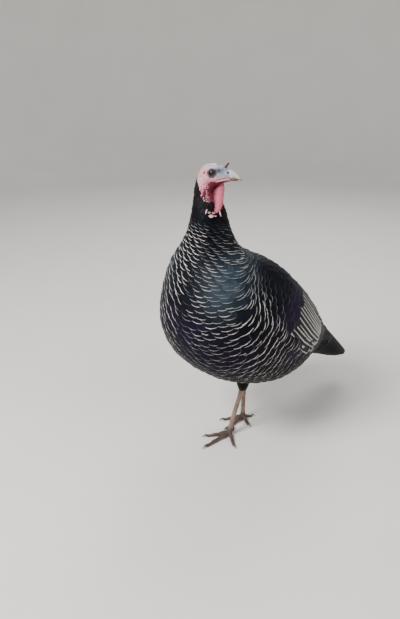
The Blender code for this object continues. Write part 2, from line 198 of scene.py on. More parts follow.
def between(rows, at):
    """Smooth values between rows at fractional row numbers, by cubic Hermite curves whose
    slope at each row is half the step from the row before to the row after."""
    rows = np.asarray(rows, float)
    slopes = np.gradient(rows, axis=0)
    i = np.clip(np.floor(at).astype(int), 0, len(rows) - 2)
    u = (at - i)[..., None]
    return (
        (2 * u**3 - 3 * u**2 + 1) * rows[i]
        + (u**3 - 2 * u**2 + u) * slopes[i]
        + (3 * u**2 - 2 * u**3) * rows[i + 1]
        + (u**3 - u**2) * slopes[i + 1]
    )


def smooth(low, high, value):
    """0 below low, 1 above high, and an S-shaped cubic between them."""
    t = np.clip((value - low) / (high - low), 0, 1)
    return t * t * (3 - 2 * t)


def hump(value, middle, size):
    """A bell curve: 1 in the middle, and about a third at the given size from it."""
    return np.exp(-(((value - middle) / size) ** 2))


def turned(reach, side, height, turn):
    """A place given by reach, side and height in a frame turned about the neck's axis."""
    turn = np.radians(turn)
    x = NECK_AXIS[0] + np.sin(turn) * reach + np.cos(turn) * side
    y = NECK_AXIS[1] - np.cos(turn) * reach + np.sin(turn) * side
    return np.stack(np.broadcast_arrays(x, y, height), -1)


def on_head(reach, side, height):
    """A place given by reach, side and height in the head's frame."""
    return turned(reach, side, height, HEAD_TURN)


def head_places(points):
    """Reach, side and height of points in the head's frame."""
    turn = np.radians(HEAD_TURN)
    x, y = points[..., 0] - NECK_AXIS[0], points[..., 1] - NECK_AXIS[1]
    reach, side = np.sin(turn) * x - np.cos(turn) * y, np.cos(turn) * x + np.sin(turn) * y
    return reach, side, points[..., 2]


def off_back(angle):
    """Degrees between an angle round the body and the back's middle, on either side."""
    return np.degrees(np.abs(angle))


def body(ring, angle):
    """The body form: superellipse sections between each ring's front and back points. The
    angle is 0 on the back, 180 degrees on the breast and positive on the bird's left."""
    row = np.moveaxis(between(RINGS, ring), -1, 0)
    front, low, back, high, half, waist, full, turn = row
    c, s = np.cos(angle), np.sin(angle)
    radius = (np.abs(c) ** full + np.abs(s) ** full) ** (-1 / full)
    up = waist + np.where(c > 0, 1 - waist, waist) * radius * c
    return turned(
        front + (back - front) * up, radius * s * half, low + (high - low) * up, turn
    )


def tangents(form, p, q):
    """Rates of change of a form along its two parameters, and its outward unit normal."""
    step = 1e-3
    along = (form(p + step, q) - form(p - step, q)) / (2 * step)
    around = (form(p, q + step) - form(p, q - step)) / (2 * step)
    normal = np.cross(along, around)
    return along, around, normal / np.linalg.norm(normal, axis=-1, keepdims=True)


def wing_place(ring):
    """Middle angle, half angle and depth of the folded wing where it crosses a ring."""
    row = np.interp(ring, WING[::-1, 0], np.arange(len(WING))[::-1])
    return np.moveaxis(between(WING, row), -1, 0)[1:]


def wing_lift(ring, angle):
    """How far the folded wing raises the body: an ellipse across, rounded at its rim."""
    centre, half, depth = wing_place(ring)
    v = np.abs(off_back((angle + np.pi) % (2 * np.pi) - np.pi) - centre) / half
    ends = smooth(WING_FRONT, WING_FRONT - 0.5, ring) * smooth(WING_REAR, WING_REAR + 0.5, ring)
    # In front the rim is soft, since breast feathers run over it.
    soft = smooth(8.0, 10.5, ring)
    bulge = (depth - WING_RIM / 2) * np.clip(1 - v**2, 0, 1) ** (0.5 + 0.5 * soft)
    rim = WING_RIM * smooth(1.08 + 0.25 * soft, 0.92 - 0.1 * soft, v)
    return ends * (rim + bulge * (v < 1))


def plumed(ring, angle):
    """The outer form of the plumage: the body, raised by the folded wings."""
    normal = tangents(body, ring, angle)[2]
    return body(ring, angle) + normal * wing_lift(ring, angle)[..., None]


COAT = ((0, 2, 4, 8, 13, 16, 17.2, 17.8), (0.003, 0.004, 0.007, 0.009, 0.008, 0.005, 0.003, 0.0005))


def coat_depth(ring):
    """Depth of the plumage over the skin, by ring."""
    return chosen("coat_share") * np.interp(ring, *COAT)


# Ring, and degrees from the back beyond which the skin is bare there.
BARE_BORDER = ((17.2, 18.0, 19.0, 19.7, 20.3, 20.7), (150, 104, 82, 62, 22, -8))


def bare_share(ring, angle):
    """1 on bare skin and 0 where the neck and nape are feathered."""
    border = np.interp(ring, *BARE_BORDER)
    return smooth(-6, 6, off_back(angle) - border) * smooth(17.2, 17.6, ring)


# ------------------------------------------------------------------ what a user may change
def linear(code):
    """A linear colour from an sRGB hex code."""
    parts = np.array([int(code[i : i + 2], 16) for i in (1, 3, 5)]) / 255
    return np.where(parts <= 0.04045, parts / 12.92, ((parts + 0.055) / 1.055) ** 2.4)


def swatch(name, description, code):
    """A colour property that starts from an sRGB hex code."""
    return bpy.props.FloatVectorProperty(
        name=name, description=description, default=linear(code).tolist(), size=3, min=0.0,
        max=1.0, subtype="COLOR",
    )


class TurkeyColours(bpy.types.PropertyGroup):
    """Colours of the bird and of the studio's floor"""

    plume_black: swatch("Feathers", "Black of all feathers", "#08080D")
    plume_blue: swatch("Blue sheen", "Sheen of the breast's and the neck's feathers", "#2B363E")
    plume_violet: swatch("Violet sheen", "Sheen of the shoulders and the lower breast", "#1B0F28")
    plume_brown: swatch("Brown feathers", "Feathers of the nape and the shanks", "#171311")
    rim_grey: swatch("Grey rims", "Rims of the feathers where they are faint", "#7F8589")
    rim_pale: swatch("Pale rims", "Rims of the feathers where they are strong", "#D8D3CC")
    face_pink: swatch("Face", "Bare skin of the head", "#C98F97")
    face_blue: swatch("Lores", "Bare skin from the eye to the bill", "#8991A2")
    face_pale: swatch("Growths", "Snood and the beads of the throat", "#DFBFC2")
    crown_pale: swatch("Crown", "Bare skin of the crown and at the bill", "#B8B7C5")
    lore_grey: swatch("Hollow", "Darkest skin, in the hollow before the eye", "#4A505B")
    lid_grey: swatch("Eyelids", "Lids and the skin round them", "#262122")
    lip_pink: swatch("Lips", "Fold below the mouth's line", "#E09FA8")
    # Painted shade along the mouth's groove.
    gape_dark: swatch("Mouth", "Line of the closed mouth", "#3A1A1A")
    # Painted shade inside the nostrils.
    nostril_dark: swatch("Nostrils", "Inside of the nostrils", "#171519")
    # Painted shade in the ears' openings, also the colour of the snood's painted shade.
    ear_dark: swatch("Ears", "Openings of the ears", "#6B3038")
    throat_pink: swatch("Throat flap", "Hanging flap of the throat", "#AE5167")
    crease_red: swatch("Throat creases", "Flushed skin between the beads", "#5C0022")
    nape_red: swatch("Flush", "Flushed skin of the cheeks and the throat", "#B8486A")
    horn_base: swatch("Bill base", "Horn at the base of the bill", "#B2B1B5")
    horn_pale: swatch("Bill", "Horn of the upper half of the bill", "#C3B6A4")
    horn_brown: swatch("Bill tip", "Horn at the tip and of the lower half", "#6A5048")
    claw_dark: swatch("Claw roots", "Horn of the claws at the toes", "#3A302B")
    claw_pale: swatch("Claw tips", "Worn horn at the claws' tips", "#6E6058")
    leg_pink: swatch("Legs", "Skin of the tarsi", "#8B6F62")
    leg_dark: swatch("Leg grooves", "Toes, and grooves between the scales", "#3B2825")
    pupil: swatch("Pupils", "Pupils and the eyeballs' hidden parts", "#0B0908")
    iris: swatch("Irises", "Brown of the irises", "#1E130E")
    paint_dark: swatch("Floor, darker", "Darker mottling of the studio's floor", "#D9D6D1")
    paint_pale: swatch("Floor, paler", "Paler mottling of the studio's floor", "#E2DFDA")


class TurkeySizes(bpy.types.PropertyGroup):
    """Sizes and numbers of the feathers, the skin's wrinkles and the lights"""

    feather_scale: bpy.props.FloatProperty(
        name="Feather size", description="Size and spacing of the body's feathers",
        default=1.0, min=0.5, max=2.0, subtype="FACTOR",
    )
    coat_share: bpy.props.FloatProperty(
        name="Plumage depth", description="Depth of the plumage over the skin",
        default=1.0, min=0.2, max=1.5, subtype="FACTOR",
    )
    rim_width: bpy.props.FloatProperty(
        name="Rim width", description="Width of the body feathers' pale rims",
        default=0.0016, min=0.0, max=0.004, precision=4, unit="LENGTH",
    )
    wrinkle_depth: bpy.props.FloatProperty(
        name="Wrinkles", description="Depth of the wrinkles of the bare head",
        default=0.00035, min=0.0, max=0.001, precision=5, unit="LENGTH",
    )
    secondaries: bpy.props.IntProperty(
        name="Secondaries", description="Stacked flight feathers of each wing",
        default=15, min=8, max=20,
    )
    primaries: bpy.props.IntProperty(
        name="Primaries", description="Long flight feathers of each wing",
        default=10, min=6, max=11,
    )
    tail_feathers: bpy.props.IntProperty(
        name="Tail feathers", description="Tail feathers on each side",
        default=9, min=5, max=10,
    )
    key_power: bpy.props.FloatProperty(
        name="Key light", description="Power of the main light", default=120.0, unit="POWER"
    )
    fill_power: bpy.props.FloatProperty(
        name="Fill light", description="Power of the lights beside and behind", default=26.0,
        unit="POWER",
    )


def chosen(name):
    """The size that the user keeps under a name."""
    return getattr(bpy.context.scene.turkey_sizes, name)


def hue(colour):
    """The linear colour that the user keeps under a name. A colour itself stays as it is."""
    if isinstance(colour, str):
        colour = getattr(bpy.context.scene.turkey_colours, colour)
    return np.array(colour)


def blend(base, colour, amount):
    """Colours on the straight way from a base to a colour, by amounts from 0 to 1."""
    return base + (hue(colour) - base) * np.asarray(amount)[..., None]


def painted(base, shape, *coats):
    """Colours of a grid of places: a base, and coats over it, each a colour and its amount."""
    tint = np.broadcast_to(hue(base), (*shape, 3))
    for colour, amount in coats:
        tint = blend(tint, colour, amount)
    return tint


# ------------------------------------------------------------------ noise and markings
def hashed(cells, seed):
    """Pseudo-random values from 0 to 1 for whole-number cells, by scrambling their bits."""
    cells = cells.astype(np.int64)
    key = cells[..., 0] * 73856093 ^ cells[..., 1] * 19349663 ^ cells[..., 2] * 83492791
    key = (key ^ seed * 2654435761) & 0xFFFFFFFF
    key = (key ^ (key >> 15)) * 2246822519 & 0xFFFFFFFF
    key = (key ^ (key >> 13)) * 3266489917 & 0xFFFFFFFF
    return ((key ^ (key >> 16)) & 0xFFFFFF) / 0xFFFFFF


def noise(points, size, seed):
    """Smooth noise from -1 to 1 whose lumps have about the given size: values at the corners
    of cubes, blended between them."""
    at = points / size
    cell = np.floor(at)
    t = at - cell
    t = t * t * (3 - 2 * t)
    total = 0.0
    for corner in np.ndindex(2, 2, 2):
        weight = np.prod(np.where(corner, t, 1 - t), axis=-1)
        total = total + weight * hashed(cell + corner, seed)
    return total * 2 - 1


# Soft spots of the plumage: ring and degrees from the back of the middle, the size in both,
# and how much they add.
BLUE_SPOTS = (((12.9, 124), (1.0, 30), 1.0), ((13.2, 66), (0.6, 28), 0.5))
VIOLET_SPOTS = (
    ((9.8, 64), (0.7, 12), 0.9),
    ((8.0, 92), (0.9, 11), 0.8),
    ((11.3, 165), (0.9, 26), 0.45),
    ((9.9, 136), (0.8, 26), 0.5),
)
RIM_SPOTS = (
    ((9.8, 100), (1.6, 24), 0.40),  # the barred flank
    ((11.9, 54), (1.7, 28), -0.95),  # the dark shoulder
    ((9.8, 64), (0.6, 12), -0.75),
    ((11.0, 20), (2.0, 30), -0.40),  # the dark upper back
    ((8.0, 45), (1.6, 26), 0.35),  # the scaled rump
)
LEFT_RIM_SPOTS = (((13.0, 120), (1.2, 36), -0.66), ((10.4, 150), (0.8, 26), -0.36))
WIDTH_SPOTS = (((7.4, 40), (1.8, 30), 0.0013), ((9.8, 98), (1.6, 24), 0.0007))


def spots(ring, angle, table):
    """The sum of soft spots, each a bell curve along the body and one round it."""
    return sum(
        amount * hump(ring, at[0], size[0]) * hump(off_back(angle), at[1], size[1])
        for at, size, amount in table
    )


def markings(ring, angle):
    """The plumage's colour, the strength of its pale rims and their width, over the body. The
    right of the breast is less blue, and its rims are stronger as painted light on its lit side."""
    right = angle < 0
    tint = painted("plume_black", ring.shape)
    blue = spots(ring, angle, BLUE_SPOTS) * np.where(right, 0.3, 1)
    tint = blend(tint, "plume_blue", np.clip(blue, 0, 0.85))
    for each in VIOLET_SPOTS:
        tint = blend(tint, "plume_violet", spots(ring, angle, [each]))
    rim = 0.92 + spots(ring, angle, RIM_SPOTS)
    # Painted light: the rims are real, and they are made stronger on the lit right side.
    rim += np.where(right, 0.3 * smooth(8.5, 9.5, ring), spots(ring, angle, LEFT_RIM_SPOTS))
    # The breast's middle is dark, and rims fade on the tail and up the neck.
    rim -= 0.9 * hump(off_back(angle), 180, 9) * smooth(9.0, 11.5, ring)
    rim *= smooth(2.2, 4.0, ring) * smooth(16.5, 15.0, ring)
    # Painted light: up the neck the rims fade less on the lit right side.
    rim *= 1 - np.where(right, 0.2, 0.5) * smooth(13.6, 15.0, ring)
    width = chosen("rim_width") + spots(ring, angle, WIDTH_SPOTS)
    # Painted light: the rims are wider on the lit right side.
    width += 0.0003 * right - 0.0006 * smooth(13, 15, ring)
    return tint, np.clip(rim, 0, 1), width


# ------------------------------------------------------------------ meshes
def closed_loft(rings):
    """Points and faces of rings joined in order, each end closed by a fan to its middle."""
    rings = np.asarray(rings, float)
    count, around = rings.shape[:2]
    points = np.concatenate([rings.reshape(-1, 3), rings[:1].mean(1), rings[-1:].mean(1)])
    i = np.arange(count - 1)[:, None] * around
    j = np.arange(around)[None]
    k = (j + 1) % around
    quads = np.stack([i + j, i + k, i + around + k, i + around + j], -1).reshape(-1, 4)
    j, k = j[0], k[0]
    last = (count - 1) * around
    first_fan = np.stack([k, j, np.full(around, count * around)], -1)
    last_fan = np.stack([last + j, last + k, np.full(around, count * around + 1)], -1)
    return points, [quads, np.concatenate([first_fan, last_fan])]


def joined(parts):
    """Several point and face sets as one."""
    points, faces, start = [], [], 0
    for each, sets in parts:
        points.append(each)
        faces += [np.asarray(one) + start for one in sets]
        start += len(each)
    return np.concatenate(points), faces


def inside_out(points, faces):
    """Whether the volume that faces close, as a sum of tetrahedra, comes out negative."""
    at = points - points.mean(0)
    volume = 0.0
    for one in faces:
        for k in range(1, one.shape[1] - 1):
            a, b, c = at[one[:, 0]], at[one[:, k]], at[one[:, k + 1]]
            volume += np.einsum("ij,ij->", a, np.cross(b, c))
    return volume < 0


def outward(points, faces):
    """The same faces, turned round if they point inwards."""
    return points, [one[:, ::-1] for one in faces] if inside_out(points, faces) else faces


def closed_form(rings):
    """A closed loft of rings whose faces point outwards."""
    return outward(*closed_loft(rings))


def coloured_form(rings, tint):
    """A closed loft of rings with a colour for each of its points."""
    ends = np.stack([tint[0].mean(0), tint[-1].mean(0)])
    return *closed_form(rings), np.concatenate([tint.reshape(-1, 3), ends])


def grid_normals(points):
    """Unit normals of a grid of points whose columns run round and close."""
    along = np.gradient(points, axis=0)
    around = np.roll(points, -1, 1) - np.roll(points, 1, 1)
    normal = np.cross(along, around)
    return normal / np.maximum(np.linalg.norm(normal, axis=-1, keepdims=True), 1e-12)


def tube(path, radii, around, flatten=1.0):
    """Round or oval rings across a path, upright ones flattened by a factor."""
    path = np.asarray(path, float)
    ahead = np.gradient(path, axis=0)
    ahead /= np.linalg.norm(ahead, axis=1, keepdims=True)
    side = np.cross(ahead, (0.0, 0.0, 1.0))
    steep = np.linalg.norm(side, axis=1) < 0.2
    side[steep] = np.cross(ahead[steep], (0.0, 1.0, 0.0))
    side /= np.linalg.norm(side, axis=1, keepdims=True)
    up = np.cross(side, ahead)
    angle = np.linspace(0, 2 * np.pi, around, endpoint=False)
    radii = np.asarray(radii, float)[:, None, None]
    return path[:, None] + radii * (
        np.cos(angle)[None, :, None] * side[:, None]
        + flatten * np.sin(angle)[None, :, None] * up[:, None]
    )


def ball(centre, radius, around):
    """Rings of a sphere from its lowest to its highest point."""
    tilt = np.linspace(-np.pi / 2 * 0.94, np.pi / 2 * 0.94, around // 2 + 1)[:, None]
    q = np.linspace(0, 2 * np.pi, around, endpoint=False)[None]
    unit = np.stack(
        np.broadcast_arrays(np.cos(tilt) * np.cos(q), np.cos(tilt) * np.sin(q), np.sin(tilt)), -1
    )
    return np.asarray(centre) + radius * unit


def put(mesh, name, values):
    """Keeps a number or a linear colour for each point of a mesh, as an attribute."""
    values = np.asarray(values, np.float32)
    if values.ndim == 1:
        layer = mesh.attributes.new(name, "FLOAT", "POINT")
        layer.data.foreach_set("value", values)
    else:
        layer = mesh.attributes.new(name, "FLOAT_COLOR", "POINT")
        layer.data.foreach_set("color", np.insert(values, 3, 1.0, axis=1).ravel())


def put_uv(mesh, name, uv):
    """Keeps a place on a map for each point of a mesh."""
    layer = mesh.uv_layers.new(name=name, do_init=False)
    at = np.zeros(len(mesh.loops), np.int32)
    mesh.loops.foreach_get("vertex_index", at)
    layer.data.foreach_set("uv", np.asarray(uv, np.float32)[at].ravel())


def new_object(name, points, faces, slots=None, sharp=None, **values):
    """An object from points and faces, with smooth faces, a material number for each face,
    edges kept sharp past an angle in degrees, and values for each point."""
    mesh = bpy.data.meshes.new(name)
    mesh.vertices.add(len(points))
    mesh.vertices.foreach_set("co", np.asarray(points, np.float32).ravel())
    loops = np.concatenate([one.ravel() for one in faces])
    sizes = np.concatenate([np.full(len(one), one.shape[1]) for one in faces])
    mesh.loops.add(len(loops))
    mesh.loops.foreach_set("vertex_index", loops.astype(np.int32))
    mesh.polygons.add(len(sizes))
    starts = np.concatenate([[0], np.cumsum(sizes)[:-1]])
    mesh.polygons.foreach_set("loop_start", starts.astype(np.int32))
    if slots is not None:
        mesh.polygons.foreach_set("material_index", np.asarray(slots, np.int32))
    mesh.update(calc_edges=True)
    mesh.validate()
    mesh.shade_smooth()
    if sharp is not None:
        mesh.set_sharp_from_angle(angle=math.radians(sharp))
    for key, each in values.items():
        put(mesh, key, each)
    made = bpy.data.objects.new(name, mesh)
    bpy.context.scene.collection.objects.link(made)
    return made


def new_piece(name, slot, patterns, points, faces, replaced=(), **details):
    """A piece of the bird: its object, with a material for each pattern, the solids whose place it
    takes and the body that it rides on. Its slot is not used."""
    made = new_object(name, points, faces, **details)
    for pattern in patterns:
        made.data.materials.append(material(pattern))
    if replaced:
        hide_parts(*replaced)
    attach(made, ROOT)
    return made


# ------------------------------------------------------------------ materials
def connect(node, links):
    """Gives a node's inputs, by name or number, a value or a link from a socket."""
    for key, value in links.items():
        if isinstance(value, bpy.types.NodeSocket):
            node.id_data.links.new(value, node.inputs[key])
        else:
            node.inputs[key].default_value = value


def add(tree, kind, links=None, **settings):
    """A new shader node with its settings and links."""
    made = tree.nodes.new("ShaderNode" + kind)
    for key, value in settings.items():
        setattr(made, key, value)
    connect(made, links or {})
    return made


def material(pattern):
    """The material named after the function that adds its pattern, made on first use."""
    made = bpy.data.materials.get(pattern.__name__)
    if made is None:
        made = bpy.data.materials.new(pattern.__name__)
        made.use_nodes = True
        pattern(made.node_tree, made.node_tree.nodes["Principled BSDF"])
    return made


def opaque(colour):
    """Red, green, blue and full alpha, as a shader node takes them."""
    return (*hue(colour), 1.0)


def tinted(tree, pattern, span, light):
    """The piece's own colour times a share of light, and that share. It runs from the first
    of two shares to the second while the pattern's values run over the span."""
    tint = add(tree, "Attribute", attribute_name="tint").outputs["Color"]
    shares = {0: pattern, 1: span[0], 2: span[1], 3: light[0], 4: light[1]}
    share = add(tree, "MapRange", shares).outputs[0]
    return add(tree, "VectorMath", {0: tint, 3: share}, operation="SCALE").outputs[0], share


def feather_keratin(tree, shader):
    """Keratin feather vanes, black with melanin, whose worn rims have none. Barbs give a
    silky lengthwise grain, and their layers a faint blue gloss."""
    pale = add(tree, "Attribute", attribute_name="pale").outputs["Fac"]
    edged = add(tree, "Attribute", attribute_name="edged").outputs["Fac"]
    # The map runs over each vane so that the rim's inner border is the unit circle.
    vane = add(tree, "UVMap", uv_map="vane").outputs["UV"]
    split = add(tree, "SeparateXYZ", {0: vane}).outputs
    across = add(tree, "Math", {0: split[0]}, operation="ABSOLUTE").outputs[0]
    down = add(tree, "Math", {0: split[1], 1: 0.0}, operation="MAXIMUM").outputs[0]
    flat = add(tree, "CombineXYZ", {0: split[0], 1: down}).outputs[0]
    radius = add(tree, "VectorMath", {0: flat}, operation="LENGTH").outputs["Value"]
    where = add(tree, "TexCoord").outputs["Object"]
    # Wear of the rims, in patches about 5 mm across.
    worn = add(tree, "TexNoise", {"Vector": where, "Scale": 200.0, "Detail": 2.0}).outputs[0]
    border = add(tree, "Math", {0: worn, 1: 0.16, 2: 0.92}, operation="MULTIPLY_ADD").outputs[0]
    ends = add(tree, "Math", {0: border, 1: 0.045}, operation="ADD").outputs[0]
    sides = {0: radius, 1: border, 2: ends}
    band = add(tree, "MapRange", sides, interpolation_type="SMOOTHSTEP").outputs[0]
    # A body feather's rim is a crescent that fades towards its sides.
    sides = {0: across, 1: 0.55, 2: 0.98, 3: 1.0, 4: 0.12}
    crescent = add(tree, "MapRange", sides, clamp=True).outputs[0]
    kept = add(tree, "Math", {0: crescent, 1: edged}, operation="MAXIMUM").outputs[0]
    band = add(tree, "Math", {0: band, 1: kept}, operation="MULTIPLY").outputs[0]
    wear = add(tree, "MapRange", {0: worn, 1: 0.32, 2: 0.56, 3: 0.4, 4: 1.0}).outputs[0]
    share = add(tree, "Math", {0: pale, 1: wear}, operation="MULTIPLY").outputs[0]
    band = add(tree, "Math", {0: band, 1: share}, operation="MULTIPLY").outputs[0]
    # Barbs slant outwards from the shaft, a little more than 1 mm apart. Real ones are too
    # fine to show.
    slant = add(tree, "Math", {0: across, 1: -1.0, 2: split[1]}, operation="MULTIPLY_ADD")
    stripes = add(tree, "Math", {0: slant.outputs[0], 1: 62.0}, operation="MULTIPLY").outputs[0]
    barbs = add(tree, "Math", {0: stripes}, operation="SINE").outputs[0]
    base, _ = tinted(tree, barbs, (-1.0, 1.0), (0.86, 1.1))
    ends = {0: pale, 6: opaque("rim_grey"), 7: opaque("rim_pale")}
    rims = add(tree, "Mix", ends, data_type="RGBA").outputs[2]
    mixed = add(tree, "Mix", {0: band, 6: base, 7: rims}, data_type="RGBA")
    rough = add(tree, "MapRange", {0: barbs, 1: -1.0, 2: 1.0, 3: 0.42, 4: 0.58})
    bump = add(tree, "Bump", {"Height": barbs, "Strength": 0.12, "Distance": 0.0003})
    connect(shader, {
        "Base Color": mixed.outputs[2], "Roughness": rough.outputs[0],
        "Normal": bump.outputs[0], "Specular IOR Level": 0.08,
        "Specular Tint": (0.72, 0.80, 1.0, 1.0),
    })


def bare_skin(tree, shader):
    """Bare moist skin of the head and throat: thin, wrinkled and flushed, so it is softly
    glossy and light passes a little way through it."""
    where = add(tree, "TexCoord").outputs["Object"]
    # Mottling about 3 mm across and fine creases about 1.2 mm apart.
    mottle = add(tree, "TexNoise", {"Vector": where, "Scale": 330.0, "Detail": 3.0}).outputs[0]
    crease = add(tree, "TexVoronoi", {"Vector": where, "Scale": 800.0}).outputs["Distance"]
    base, _ = tinted(tree, mottle, (0.3, 0.7), (0.82, 1.12))
    bump = add(tree, "Bump", {"Height": crease, "Strength": 0.35, "Distance": 0.0004})
    connect(shader, {
        "Base Color": base, "Normal": bump.outputs[0], "Roughness": 0.5,
        "Specular IOR Level": 0.35, "Subsurface Weight": 0.12, "Subsurface Scale": 0.002,
    })


def scaly_hide(tree, shader):
    """Dry horny scales on the legs and toes, dull, with dirt in the grooves."""
    where = {"Vector": add(tree, "TexCoord").outputs["Object"], "Scale": 500.0}
    # Small scales about 2 mm across.
    cells = add(tree, "TexVoronoi", where, feature="DISTANCE_TO_EDGE")
    base, groove = tinted(tree, cells.outputs["Distance"], (0.0, 0.10), (0.62, 1.05))
    bump = add(tree, "Bump", {"Height": groove, "Strength": 0.5, "Distance": 0.0004})
    connect(shader, {"Base Color": base, "Normal": bump.outputs[0], "Roughness": 0.55})


def worn_horn(tree, shader):
    """Worn horn of the bill and claws: layered keratin, smooth with fine wear."""
    where = add(tree, "TexCoord").outputs["Object"]
    # Growth marks about 2 mm apart.
    marks = add(tree, "TexNoise", {"Vector": where, "Scale": 420.0, "Detail": 4.0}).outputs[0]
    base, _ = tinted(tree, marks, (0.3, 0.7), (0.75, 1.15))
    bump = add(tree, "Bump", {"Height": marks, "Strength": 0.2, "Distance": 0.0003})
    connect(shader, {
        "Base Color": base, "Normal": bump.outputs[0], "Roughness": 0.36, "Coat Weight": 0.08,
    })


def wet_eye(tree, shader):
    """A wet eye: a clear cornea over a dark pupil and a brown iris, so it is glossy."""
    where = add(tree, "TexCoord").outputs["Object"]
    # Fibres of the iris, less than 1 mm apart.
    fibres = add(tree, "TexNoise", {"Vector": where, "Scale": 1500.0}).outputs[0]
    base, _ = tinted(tree, fibres, (0.3, 0.7), (0.8, 1.2))
    connect(shader, {
        "Base Color": base, "Roughness": 0.10, "Specular IOR Level": 0.3,
        "Coat Weight": 0.2, "Coat Roughness": 0.02,
    })


def studio_paint(tree, shader):
    """Pale matt studio paint, with the faintest mottling of a rolled coat."""
    where = add(tree, "TexCoord").outputs["Object"]
    cloud = add(tree, "TexNoise", {"Vector": where, "Scale": 3.0}).outputs[0]
    ends = {0: cloud, 6: opaque("paint_dark"), 7: opaque("paint_pale")}
    mixed = add(tree, "Mix", ends, data_type="RGBA")
    connect(shader, {"Base Color": mixed.outputs[2], "Roughness": 0.8})


# ------------------------------------------------------------------ the skin
SKIN_AROUND = 200
FRONT_CROWDING = 0.35  # how much closer the skin's columns stand on the throat
SOCKET_RADIUS = 0.0056
SOCKET_FROM = 20  # ring from which the skin has the eyes' openings
LID_WIDE, LID_TALL = 0.0059, 0.0053  # half the size of the opening between the eyelids
FLAP_COLLAR = (0.0085, 0, -0.0030, 0, -0.0006)  # from the flap's first row to one in the throat
FLAP_ROUND = (0.86, 0.143)  # share of its length where its rounded end starts, and how long it is
FOLD_SPACING, FOLD_DEPTH = 0.0060, 0.00035
LIP_DROP = 0.0034  # from the mouth's line to the middle of the fold below it
BEAD_SPACING, BEAD_HEIGHT = 0.0037, 0.0011
BEAD_BAND = ((18.0, 20.5), (146, 121))  # ring, and degrees from the back where the beads end
FACE_LUMPS = (  # reach and height of the middle, the size in both, and how far it stands out
    ((0.0080, 0.7185), (0.0100, 0.0028), 0.0014),  # brow
    ((0.0240, 0.7085), (0.0080, 0.0060), -0.0012),  # hollow before the eye
    ((-0.0010, 0.6960), (0.0110, 0.0060), 0.0012),  # cheek
    ((0.0400, 0.7075), (0.0075, 0.0050), 0.0011),  # swelling round the nostril
    (EAR, (0.0022, 0.0026), -0.0020),
)


def nostril_away(reach, height):
    """Distance from the middle of the slanting nostril, 1 at its rim."""
    up = height - NOSTRIL[1] + 0.2 * (reach - NOSTRIL[0])
    return np.hypot((reach - NOSTRIL[0]) / NOSTRIL_SIZE[0], up / NOSTRIL_SIZE[1])


def mouth_line(reach):
    """Height of the mouth's line, and how far forward from the gape's corner it is, from 0 to
    1. The line rises along a quarter of a sine to where the bill's halves meet."""
    u = np.clip((reach - GAPE_CORNER[0]) / (BILL_ROOT[0] - GAPE_CORNER[0]), 0, 1)
    return GAPE_CORNER[1] + (GAPE_HEIGHT - GAPE_CORNER[1]) * np.sin(u * np.pi / 2), u


def face_relief(points):
    """How far the bare skin of the face stands out: the sum of lumps and hollows as bell
    curves, rings round the eye as a cosine, the mouth's groove and fold, and noise."""
    reach, side, height = head_places(points)
    line, u = mouth_line(reach)
    eye = np.hypot(reach - EYE[0], height - EYE[2] - 0.001)
    out = sum(
        rise * hump(reach, at[0], size[0]) * hump(height, at[1], size[1])
        for at, size, rise in FACE_LUMPS
    )
    ripple = np.cos((eye - 0.0068) * 2 * np.pi / 0.0019)
    out += 0.00022 * ripple * smooth(0.0125, 0.0085, eye) * smooth(0.006, 0.007, eye)
    out -= 0.0022 * np.exp(-(nostril_away(reach, height) ** 4))
    out += 0.0009 * hump(height, line - LIP_DROP, 0.0016) * (u > 0)
    out *= smooth(0.004, 0.009, np.abs(side))
    # The mouth's line runs back from the bill's halves to the gape's corner.
    mouth = hump(height, line, 0.0009) * smooth(-0.02, 0.06, u)
    out -= 0.0014 * mouth * (reach > GAPE_CORNER[0] - 0.001)
    wrinkles = noise(points, 0.0026, 3) + noise(points, 0.0012, 4) * 4 / 7
    return out + chosen("wrinkle_depth") * wrinkles


def beads(ring, angle, points):
    """Round caruncles crowded on the sides and back of the throat, 2 to 3 mm across: upper
    halves of balls round shifted points of a cubic grid."""
    last = np.interp(ring, *BEAD_BAND)
    share = smooth(21.3, 20.6, ring) * smooth(9, -9, off_back(angle) - last)
    at = points / BEAD_SPACING
    cell = np.floor(at)
    best = np.full(ring.shape, 9.0)
    for step in np.ndindex(3, 3, 3):
        near = cell + np.array(step) - 1
        centre = near + 0.5 + 0.35 * np.stack([hashed(near, s) * 2 - 1 for s in (5, 6, 7)], -1)
        best = np.minimum(best, np.linalg.norm(at - centre, axis=-1))
    size = 0.50 + 0.12 * noise(points, 0.006, 14)
    return share * bare_share(ring, angle) * np.sqrt(np.clip(1 - (best / size) ** 2, 0, 1))


